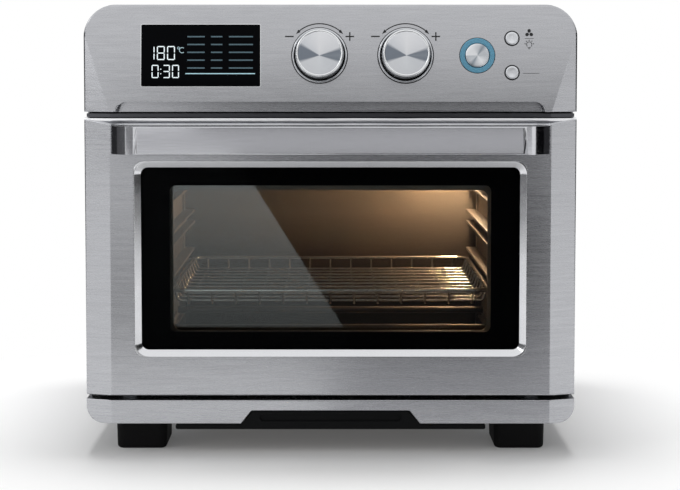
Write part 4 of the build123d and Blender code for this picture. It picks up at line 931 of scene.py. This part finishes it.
def add_shell(shape, loops, ring=False):
    """Joins loops of points into a closed shell: in a ring the last loop meets the first,
    and otherwise a face closes each end."""
    rows = [[shape.verts.new(point) for point in loop] for loop in loops]
    pairs = list(zip(rows, rows[1:]))
    faces = []
    if ring:
        pairs.append((rows[-1], rows[0]))
    else:
        faces += [shape.faces.new(rows[0]), shape.faces.new(rows[-1])]
    for before, after in pairs:
        for step in range(len(before)):
            ahead = (step + 1) % len(before)
            corners = (before[step], after[step], after[ahead], before[ahead])
            faces.append(shape.faces.new(corners))
    bmesh.ops.recalc_face_normals(shape, faces=faces)


def plates(outlines, lift=ink_lift):
    """Thin plates on the panel plane; each outline is a list of (x, y) points."""
    shape = bmesh.new()
    for outline in outlines:
        top = [on_panel(x, y, lift) for x, y in outline]
        back = [on_panel(x, y, lift - plate_thickness) for x, y in outline]
        add_shell(shape, (top, back))
    return shape


def bar(x, y, width, height):
    """A rectangle about a point."""
    corners = ((-1, -1), (1, -1), (1, 1), (-1, 1))
    return [(x + side * width / 2, y + end * height / 2) for side, end in corners]


def arc_strip(x, y, radius, start, end, width, steps=28):
    """A curved strip about a point, between two angles in degrees."""
    angles = [math.radians(start + (end - start) * step / steps) for step in range(steps + 1)]
    outer = [on_circle(x, y, radius + width / 2, angle) for angle in angles]
    inner = [on_circle(x, y, radius - width / 2, angle) for angle in angles]
    return outer + inner[::-1]


def arrowhead(x, y, radius, at, turn, length, width):
    """A triangle at an angle on a circle, pointing along it; turn is 1 or -1."""
    angle = math.radians(at)
    return [
        on_circle(x, y, radius - width / 2, angle),
        on_circle(x, y, radius + width / 2, angle),
        on_circle(x, y, radius, angle + turn * length / radius),
    ]


# Each knob's scale: an arc with an arrowhead at both ends, a minus and a plus
scale_radius = mm(26.6)
scale_half_turn = 41.0
scale_width = mm(0.9)
arrow_length = mm(4)
arrow_width = mm(2.8)
sign_x = mm(25.2)
sign_y = mm(15.9)
sign_size = mm(7.2)
sign_width = mm(1.1)
half_stroke = (sign_size - sign_width) / 2
ink_and_painted_shade_marks = []
for knob_x, _ in knob_places.values():
    scale = (knob_x, 0, scale_radius)
    ends = (90 - scale_half_turn, 90 + scale_half_turn)
    ink_and_painted_shade_marks.append(arc_strip(*scale, *ends, scale_width))
    for turn in (1, -1):
        at = 90 + turn * (scale_half_turn - 2)
        ink_and_painted_shade_marks.append(arrowhead(*scale, at, turn, arrow_length, arrow_width))
    for side in (-1, 1):
        ink_and_painted_shade_marks.append(bar(knob_x + side * sign_x, sign_y, sign_size, sign_width))
        stroke_y = sign_y + side * (sign_width + half_stroke) / 2
        ink_and_painted_shade_marks.append(bar(knob_x + sign_x, stroke_y, sign_width, half_stroke))

# Painted shade: dark gap rings round knob rings, small buttons and light ring, as x, y,
# radius, width, steps
painted_shadow_gaps = (
    (function_x, 0, mm(23.3), mm(0.75), 72),
    (temperature_x, 0, mm(23.3), mm(0.75), 72),
    (small_x, small_rise, mm(6.1), mm(0.8), 48),
    (small_x, -small_rise, mm(6.1), mm(0.8), 48),
    (start_x, 0, mm(14.7), mm(0.7), 64),
)
for x, y, radius, width, steps in painted_shadow_gaps:
    ink_and_painted_shade_marks.append(arc_strip(x, y, radius, 0, 360, width, steps))

# Divider lines beside the small buttons, as x, y and width
divider_thickness = mm(0.35)
icon_x = mm(165.6)
for x, y, width in ((icon_x, mm(14.2), mm(7.5)), (mm(167.2), mm(-14.9), mm(13.7))):
    ink_and_painted_shade_marks.append(bar(x, y, width, divider_thickness))

# Pictograms beside the upper small button: a three-blade fan over a lit bulb
fan_icon_y = mm(18.6)
blade_reach = mm(3.6)
blade_steps = 14
for blade in range(3):
    middle = math.radians(90 + 120 * blade)
    blade_points = []
    for step in range(blade_steps):
        along, aside = on_circle(0, 0, 1, 2 * math.pi * step / blade_steps)
        along = blade_reach * (0.56 + 0.44 * along)
        aside = blade_reach * 0.40 * aside
        blade_points.append(
            (
                icon_x + along * math.cos(middle) - aside * math.sin(middle),
                fan_icon_y + along * math.sin(middle) + aside * math.cos(middle),
            )
        )
    ink_and_painted_shade_marks.append(blade_points)
bulb = (icon_x, mm(9.2))
bulb_radius = mm(2.2)
ink_and_painted_shade_marks.append(arc_strip(*bulb, bulb_radius, -50, 230, mm(0.55)))
for drop, width in ((mm(2.6), mm(2.6)), (mm(3.5), mm(1.6))):
    ink_and_painted_shade_marks.append(bar(bulb[0], bulb[1] - drop, width, mm(0.5)))
ray_reach = mm(3.5)
ray_dot = mm(0.35)
for ray in range(5):
    place = on_circle(*bulb, ray_reach, math.radians(10 + 40 * ray))
    ink_and_painted_shade_marks.append(arc_strip(*place, ray_dot, 0, 355, ray_dot, 8))
# Print and painted shade together: the marks, and the dark rings of painted shadow gap round
# the knob rings, buttons and light ring
new_piece("printed_and_painted_shade_marks", plates(ink_and_painted_shade_marks), root_body, "black_plastic", ink_and_painted_shade)

# Display: seven-bar digits, a small unit mark, faint rows of bars and a thin line
lens_top = mm(0.4)
display_lift = lens_top + mm(0.06)
segment_table = {"0": "abcdef", "1": "bc", "3": "abgcd", "8": "abcdefg"}
stroke = mm(0.8)


def digit_bars(character, x, y, width, height):
    """Outlines of one seven-bar digit about a point."""
    half_height = height / 2
    gap = stroke * 0.25
    level = (width - stroke - 2 * gap, stroke)
    upright = (stroke, half_height - stroke - 2 * gap)
    right = x + (width - stroke) / 2
    left = x - (width - stroke) / 2
    places = {
        "a": (x, y + half_height - stroke / 2, *level),
        "d": (x, y - half_height + stroke / 2, *level),
        "g": (x, y, *level),
        "b": (right, y + half_height / 2, *upright),
        "c": (right, y - half_height / 2, *upright),
        "f": (left, y + half_height / 2, *upright),
        "e": (left, y - half_height / 2, *upright),
    }
    return [bar(*places[key]) for key in segment_table[character]]


# Upper number, and lower number with a colon after its first digit, as characters, first
# x, pitch, y, digit width and height, and the extra gap after the first digit
lower_y = mm(-13.4)
digit_marks = []
for characters, first_x, pitch, y, width, height, gap in (
    ("180", mm(-149.8), mm(8.5), mm(2.0), mm(6.5), mm(11.6), 0.0),
    ("030", mm(-146.0), mm(7.6), lower_y, mm(5.8), mm(11.0), mm(1.8)),
):
    for place, character in enumerate(characters):
        x = first_x + place * pitch + (gap if place else 0.0)
        digit_marks += digit_bars(character, x, y, width, height)
for colon_rise in (mm(-1.9), mm(1.9)):
    digit_marks.append(bar(mm(-141.3), lower_y + colon_rise, stroke, stroke))
# Degree ring and an arc open to the right
unit_marks = [
    arc_strip(mm(-126.6), mm(6.2), mm(0.9), 0, 358, mm(0.45), 14),
    arc_strip(mm(-123.6), mm(4.4), mm(2.2), 50, 310, mm(0.6), 16),
]
for name, marks, light in (
    ("display_digits", digit_marks, digit_glow),
    ("display_units", unit_marks, unit_glow),
):
    new_piece(name, plates(marks, display_lift), root_body, "display_lens", light)

# Faint rows of bars on the display, as the middle and width of each column
bar_tree, given = row_tree("bar_row", ("Bar width", "Bar height"))
bar_size = add_node(
    bar_tree,
    "ShaderNodeCombineXYZ",
    {"X": given["Bar width"], "Y": given["Bar height"], "Z": plate_thickness},
)
repeat_in_row(bar_tree, given, add_node(bar_tree, "GeometryNodeMeshCube", {"Size": bar_size}))
bar_columns = {
    "display_bars_left": (mm(-112.0), mm(14.5)),
    "display_bars_middle": (mm(-94.8), mm(9.5)),
    "display_bars_right": (mm(-74.6), mm(20.0)),
}
bar_values = {"Count": 5, "Pitch": mm(6.55), "Bar height": mm(1.1), "Material": bar_dim}
bars_y = mm(2.6)
panel_turn = Matrix((across, up_slope, out_of_panel)).transposed().to_4x4()
for bars_name, (bars_x, bars_width) in bar_columns.items():
    place = Matrix.Translation(on_panel(bars_x, bars_y, display_lift)) @ panel_turn
    bars = grown(bars_name, bar_tree, {**bar_values, "Bar width": bars_width}, place)
    with_material(bars, bar_dim)
    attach(bars, root_body)

# Thin bright line under them
line = plates([bar(mm(-91.8), mm(-15.2), mm(58.0), stroke)], display_lift)
new_piece("display_line", line, root_body, "display_lens", bar_lit)

# Thin bright edge round the display window
edge = mm(0.5)
display_half = (mm(49.6), mm(25.9))
edge_marks = []
for side in (-1, 1):
    edge_y = side * (display_half[1] + edge / 2)
    edge_x = display_x + side * (display_half[0] + edge / 2)
    edge_marks.append(bar(display_x, edge_y, 2 * display_half[0], edge))
    edge_marks.append(bar(edge_x, 0, edge, 2 * display_half[1]))
new_piece("display_edge", plates(edge_marks), root_body, "spun_aluminium", rim_metal)


# Lip along the top edge of the door skin: its round nose catches the light, and its paler
# colour adds a painted highlight
lip_nose = mm(1.5)
lip_top_z = door_high.z + mm(1.1)
lip_front_y = door_low.y + mm(0.45)
lip_back_y = door_low.y + mm(6.5)
lip_under_y = lip_front_y + mm(4.0)
facet_x = door_high.x - mm(22)
facet_back = mm(7)
lip_profile = [(lip_back_y, lip_top_z)]
for step in range(7):
    angle = math.radians(90 + 30 * step)
    lip_profile.append(
        on_circle(lip_front_y + lip_nose, lip_top_z - lip_nose, lip_nose, angle)
    )
lip_profile.append((lip_under_y, lip_top_z - 2 * lip_nose))
lip_ends = (
    (door_low.x, facet_back), (-facet_x, 0), (facet_x, 0), (door_high.x, facet_back)
)
lip_crisp_angle = 40.0
lip = bmesh.new()
add_shell(lip, [[(x, y + back, z) for y, z in lip_profile] for x, back in lip_ends])
lip_piece = new_piece("door_top_lip", lip, "door", "brushed_steel", lip_painted_highlight_steel)
smooth_by_angle(lip_piece, lip_crisp_angle)


def rounded_rectangle(half_width, low, high, radius, steps=8):
    """Points round a rectangle with rounded corners, each with its angle outwards."""
    points = []
    for quarter, (side, end) in enumerate(((1, high), (-1, high), (-1, low), (1, low))):
        middle_x = side * (half_width - radius)
        middle_y = end - radius if end == high else end + radius
        for step in range(steps + 1):
            angle = math.radians(90 * quarter + 90 * step / steps)
            points.append((*on_circle(middle_x, middle_y, radius, angle), angle))
    return points


# Door glass: a clear pane with a black fired border on its back
sight_half = mm(135.0)
sight_low = mm(101.7)
sight_high = mm(225.7)
border_inset = mm(0.1)
border_front_y = glass_high.y + mm(0.02)
border_back_y = border_front_y + mm(0.1)
border_outer = rounded_rectangle(
    glass_high.x - border_inset,
    glass_low.z + border_inset,
    glass_high.z - border_inset,
    mm(5.6),
)
border_inner = rounded_rectangle(sight_half, sight_low, sight_high, mm(5.0))
border_loops = [
    [(x, y, z) for x, z, _ in outline]
    for y, outline in (
        (border_front_y, border_outer),
        (border_front_y, border_inner),
        (border_back_y, border_inner),
        (border_back_y, border_outer),
    )
]
border = bmesh.new()
add_shell(border, border_loops, ring=True)
new_piece("glass_black_border", border, "door", "window_glass", printed_black)


# Basket: round wires bent up at both ends under a round rim, made by one node tree

wire_radius = mm(1.1)
wire_sides = 10
bend_steps = 5
rim_radius = mm(2.0)
rim_corner = mm(12)
rim_sides = 12
basket_half = (basket_high.x - basket_low.x) / 2
basket_length = basket_high.y - basket_low.y
basket_middle_y = (basket_high.y + basket_low.y) / 2
basket_rim_z = basket_high.z - rim_radius
# Cross wires lie on the long ones and bite into them a little where they are welded
weld_bite = mm(0.2)
long_floor_z = basket_low.z + wire_radius
cross_floor_z = long_floor_z + 2 * wire_radius - weld_bite
long_wires = 13
long_pitch = mm(20.7)
long_inset = mm(1.2)
cross_wires = 11
cross_inset = mm(3)
cross_span = basket_length - mm(24)
cross_pitch = cross_span / (cross_wires - 1)

# Each wire rises at both ends from its floor, leaning outwards
wire_tree, given = row_tree(
    "bent_wire_row", ("Half length", "Rise", "Lean", "Bend radius", "Wire radius")
)
half_length, rise = given["Half length"], given["Rise"]
floor_half = add_node(
    wire_tree, "ShaderNodeMath", {0: half_length, 1: given["Lean"]}, operation="SUBTRACT"
)
low_end, low_floor = (
    add_node(wire_tree, "ShaderNodeMath", {0: reach, 1: -1.0}, operation="MULTIPLY")
    for reach in (half_length, floor_half)
)
bends = [
    add_node(wire_tree, "ShaderNodeCombineXYZ", {"X": x, "Z": z})
    for x, z in ((low_end, rise), (low_floor, 0.0), (floor_half, 0.0), (half_length, rise))
]
stretches = []
for start, end in zip(bends, bends[1:]):
    stretch = add_node(
        wire_tree, "GeometryNodeCurvePrimitiveLine", {"Start": start, "End": end}
    )
    stretches.append(add_node(wire_tree, "GeometryNodeCurveToMesh", {"Curve": stretch}))
joined = add_node(wire_tree, "GeometryNodeJoinGeometry")
for stretch in reversed(stretches):
    wire_tree.links.new(stretch.outputs[0], joined.inputs[0])
merged = add_node(
    wire_tree, "GeometryNodeMergeByDistance", {"Geometry": joined, "Distance": mm(0.01)}
)
path = add_node(wire_tree, "GeometryNodeMeshToCurve", {"Mesh": merged})
bent = add_node(
    wire_tree,
    "GeometryNodeFilletCurve",
    {"Curve": path, "Radius": given["Bend radius"], "Count": bend_steps},
    mode="POLY",
)
section = add_node(
    wire_tree,
    "GeometryNodeCurvePrimitiveCircle",
    {"Resolution": wire_sides, "Radius": given["Wire radius"]},
    mode="RADIUS",
)
wire = add_node(
    wire_tree,
    "GeometryNodeCurveToMesh",
    {"Curve": bent, "Profile Curve": section, "Fill Caps": True},
)
repeat_in_row(wire_tree, given, wire)
wire_values = {
    "Lean": mm(3), "Bend radius": mm(4), "Wire radius": wire_radius, "Material": basket_chrome
}


def wire_row(count, pitch, half_length, floor_z, turn):
    """One row of bent wires as a plain mesh in place."""
    values = {
        "Count": count,
        "Pitch": pitch,
        "Half length": half_length - wire_radius,
        "Rise": basket_rim_z - floor_z,
        **wire_values,
    }
    place = Matrix.Translation((0, basket_middle_y, floor_z))
    return grown("wire_row", wire_tree, values, place @ Matrix.Rotation(turn, 4, "Z"))


quarter_turn = math.radians(90)
long_half = basket_length / 2 - long_inset
cross_half = basket_half - cross_inset
basket_rows = (
    wire_row(long_wires, long_pitch, long_half, long_floor_z, quarter_turn),
    wire_row(cross_wires, cross_pitch, cross_half, cross_floor_z, 0.0),
)

# Rim: a round rod in a rounded rectangle
rim_path = rounded_rectangle(
    basket_half - rim_radius,
    basket_low.y + rim_radius,
    basket_high.y - rim_radius,
    rim_corner,
)
rim_loops = []
for x, y, outward in rim_path:
    loop = []
    for side in range(rim_sides):
        reach, lift = on_circle(0, 0, rim_radius, 2 * math.pi * side / rim_sides)
        loop.append((*on_circle(x, y, reach, outward), basket_rim_z + lift))
    rim_loops.append(loop)
basket = bmesh.new()
add_shell(basket, rim_loops, ring=True)
for row in basket_rows:
    basket.from_mesh(row.data)
    bpy.data.objects.remove(row)
basket_piece = new_piece(
    "air_fry_basket_wires", basket, "basket", "basket_wire", basket_chrome
)
for polygon in basket_piece.data.polygons:
    polygon.use_smooth = True
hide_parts("air_fry_basket")


# Light, floor and camera

def flat_sheet(name, corners, material):
    """A single flat face between corners, with its material."""
    shape = bmesh.new()
    shape.faces.new([shape.verts.new(corner) for corner in corners])
    sheet = mesh_object(name, shape)
    sheet.data.materials.append(material)
    return sheet


def card(name, corners, colour, strength=1.0, low_strength=None):
    """A studio card that only shows in reflections; low_strength dims its foot."""
    material, tree = bare_material(f"{name}_paint")
    if low_strength is not None:
        heights = [corner[2] for corner in corners]
        strength = by_height(tree, min(heights), max(heights), low_strength, strength)
    light = add_node(
        tree, "ShaderNodeEmission", {"Color": linear(colour), "Strength": strength}
    )
    add_node(tree, "ShaderNodeOutputMaterial", {"Surface": light})
    sheet = flat_sheet(name, corners, material)
    sheet.visible_camera = False
    sheet.visible_diffuse = False
    sheet.visible_transmission = False
    sheet.visible_shadow = False


# Cards upright before the oven, as (x, z) corners in metres, colour and strengths
card_y = -0.65
facing_cards = {
    # In front and to the right: its slanted left edge crosses the door glass
    "dark_card": (
        ((-0.110, 0.222), (0.028, 0.001), (0.285, 0.001), (0.285, 0.222)), "#2A2A2C"
    ),
    # White card left of it, dimmer at its foot, greys the lower left of the glass
    "fading_card": (
        ((-0.40, 0.222), (-0.40, 0.001), (0.028, 0.001), (-0.110, 0.222)),
        "#FFFFFF",
        0.88,
        0.28,
    ),
    # Grey card above them, dark at its foot, darkens the lower right of the tilted panel
    "grey_card": (
        ((-0.30, 0.41), (-0.14, 0.264), (0.55, 0.264), (0.55, 0.41)), "#FFFFFF", 0.45, 0.02
    ),
    # Light grey at the height that the handle strap mirrors, and darker at its left end
    "strap_card": (
        ((-0.37, 0.226), (0.6, 0.226), (0.6, 0.262), (-0.37, 0.262)), "#CCCCCE"
    ),
    "strap_end_card": (
        ((-0.80, 0.216), (-0.372, 0.216), (-0.372, 0.272), (-0.80, 0.272)), "#7C7C7E"
    ),
}
for card_name, (outline, *paint) in facing_cards.items():
    card(card_name, [(x, card_y, z) for x, z in outline], *paint)
# Grey card lying in front at the right darkens the foot of the door and the trim
lying_card = ((0.0, -0.26), (0.30, -0.26), (0.30, -0.64), (0.0, -0.64))
card("low_card", [(x, y, 0.002) for x, y in lying_card], "#C6C6C8")


def side_wall(x, low_y, high_y, high_z):
    """Corners of an upright card at one side, standing on the floor."""
    return ((x, low_y, 0.0), (x, high_y, 0.0), (x, high_y, high_z), (x, low_y, high_z))


# Dark cards well to the sides darken the bent ends of the strap. Dark walls beside and
# behind show only in edges that turn away from the camera
wall_x = 1.6
wall_y = 1.4
wall_dark = "#2E2E30"
for side_name, wall_side, side_dark in (("left", -1, "#545456"), ("right", 1, "#08080A")):
    x = wall_side * wall_x
    card(f"side_card_{side_name}", side_wall(x, -1.15, 0.0, 1.2), side_dark)
    card(f"dark_side_{side_name}", side_wall(x, 0.0, wall_y, 0.8), wall_dark)
back_wall = ((-2.2, 0.0), (2.2, 0.0), (2.2, 0.6), (-2.2, 0.6))
card("dark_back", [(x, wall_y, z) for x, z in back_wall], wall_dark)


def area_light(name, place, target, size, power, mirrored=True):
    """A soft rectangular light aimed at a point."""
    data = bpy.data.lights.new(name, "AREA")
    data.shape = "RECTANGLE"
    data.size, data.size_y = size
    data.energy = power
    lamp = in_scene(name, data)
    lamp.location = place
    aim = Vector(target) - Vector(place)
    lamp.rotation_euler = aim.to_track_quat("-Z", "Y").to_euler()
    lamp.visible_glossy = mirrored


area_light("overhead_softbox", (0, 0.25, 1.9), (0, 0.1, 0.0), (0.9, 0.7), 31, mirrored=False)
area_light("left_softbox", (-1.7, -0.9, 0.9), (0, 0, 0.2), (1.0, 1.2), 7)

# Oven lamp: warm, in front of its lens at the upper right of the cavity
oven_lamp = bpy.data.lights.new("oven_lamp", "POINT")
oven_lamp.energy = 1.5
oven_lamp.color = linear("#FFD3A8")[:3]
oven_lamp.shadow_soft_size = mm(12)
oven_lamp_object = in_scene("oven_lamp", oven_lamp)
oven_lamp_object.location = (
    lamp_low.x - mm(18),
    (lamp_low.y + lamp_high.y) / 2 + mm(18),
    (lamp_low.z + lamp_high.z) / 2 + mm(4),
)


def directly_seen(tree):
    """1 to the camera, in mirror images and through glass; 0 for the light it gives."""
    ray = add_node(tree, "ShaderNodeLightPath").outputs
    either = add_node(
        tree,
        "ShaderNodeMath",
        {0: ray["Is Camera Ray"], 1: ray["Is Glossy Ray"]},
        operation="MAXIMUM",
    )
    return add_node(
        tree, "ShaderNodeMath", {0: either, 1: ray["Is Transmission Ray"]}, operation="MAXIMUM"
    )


# World: white where it is seen, and dimmer as a light
world = bpy.data.worlds.new("studio")
bpy.context.scene.world = world
world.use_nodes = True
sky = world.node_tree
sky.nodes.clear()
lighting = add_node(sky, "ShaderNodeBackground", {"Color": white, "Strength": 0.39})
backdrop = add_node(sky, "ShaderNodeBackground", {"Color": white, "Strength": 1.0})
mixed_sky = add_node(
    sky, "ShaderNodeMixShader", {0: directly_seen(sky), 1: lighting, 2: backdrop}
)
add_node(sky, "ShaderNodeOutputWorld", {"Surface": mixed_sky})

# Floor: white card that keeps the object's shadow near it and fades to plain white,
# sooner to the front than to the sides
floor_half = 6.0
fade_start = 0.33
fade_end = 0.6
fade_share = 0.08
fade_shape = (1.0, 1.6, 1.0)
floor_material, tree = bare_material("white_card_floor")
place = add_node(tree, "ShaderNodeTexCoord").outputs["Object"]
stretched = add_node(
    tree, "ShaderNodeVectorMath", {0: place, 1: fade_shape}, operation="MULTIPLY"
)
reach = add_node(
    tree, "ShaderNodeVectorMath", {0: stretched}, operation="LENGTH"
).outputs["Value"]
fade = add_node(
    tree,
    "ShaderNodeMapRange",
    {"Value": reach, "From Min": fade_start, "From Max": fade_end, "To Min": fade_share},
)
share = add_node(
    tree, "ShaderNodeMath", {0: fade, 1: directly_seen(tree)}, operation="MULTIPLY"
)
matt = add_node(tree, "ShaderNodeBsdfDiffuse", {"Color": linear("#F4F4F4")})
plain_white = add_node(tree, "ShaderNodeEmission", {"Color": white, "Strength": 1.0})
floor_mix = add_node(tree, "ShaderNodeMixShader", {0: share, 1: matt, 2: plain_white})
add_node(tree, "ShaderNodeOutputMaterial", {"Surface": floor_mix})
floor_corners = ((-1, -1), (1, -1), (1, 1), (-1, 1))
floor = flat_sheet(
    "floor", [(x * floor_half, y * floor_half, 0) for x, y in floor_corners], floor_material
)

# Camera: level with the control panel, looking slightly down
frame_width = 680
focal_pixels = 1683
sensor_width = 36.0
camera_place = (0, -1.554, 0.3283)
camera_pitch = math.radians(86.5)
camera_data = bpy.data.cameras.new("camera")
camera_data.sensor_width = sensor_width
camera_data.sensor_fit = "HORIZONTAL"
camera_data.lens = focal_pixels / frame_width * sensor_width
camera_data.shift_x = 0.014
camera_data.shift_y = -0.1163
camera = in_scene("camera", camera_data)
camera.location = camera_place
camera.rotation_euler = (camera_pitch, 0, 0)
bpy.context.scene.camera = camera

bpy.context.scene.view_settings.view_transform = "Standard"
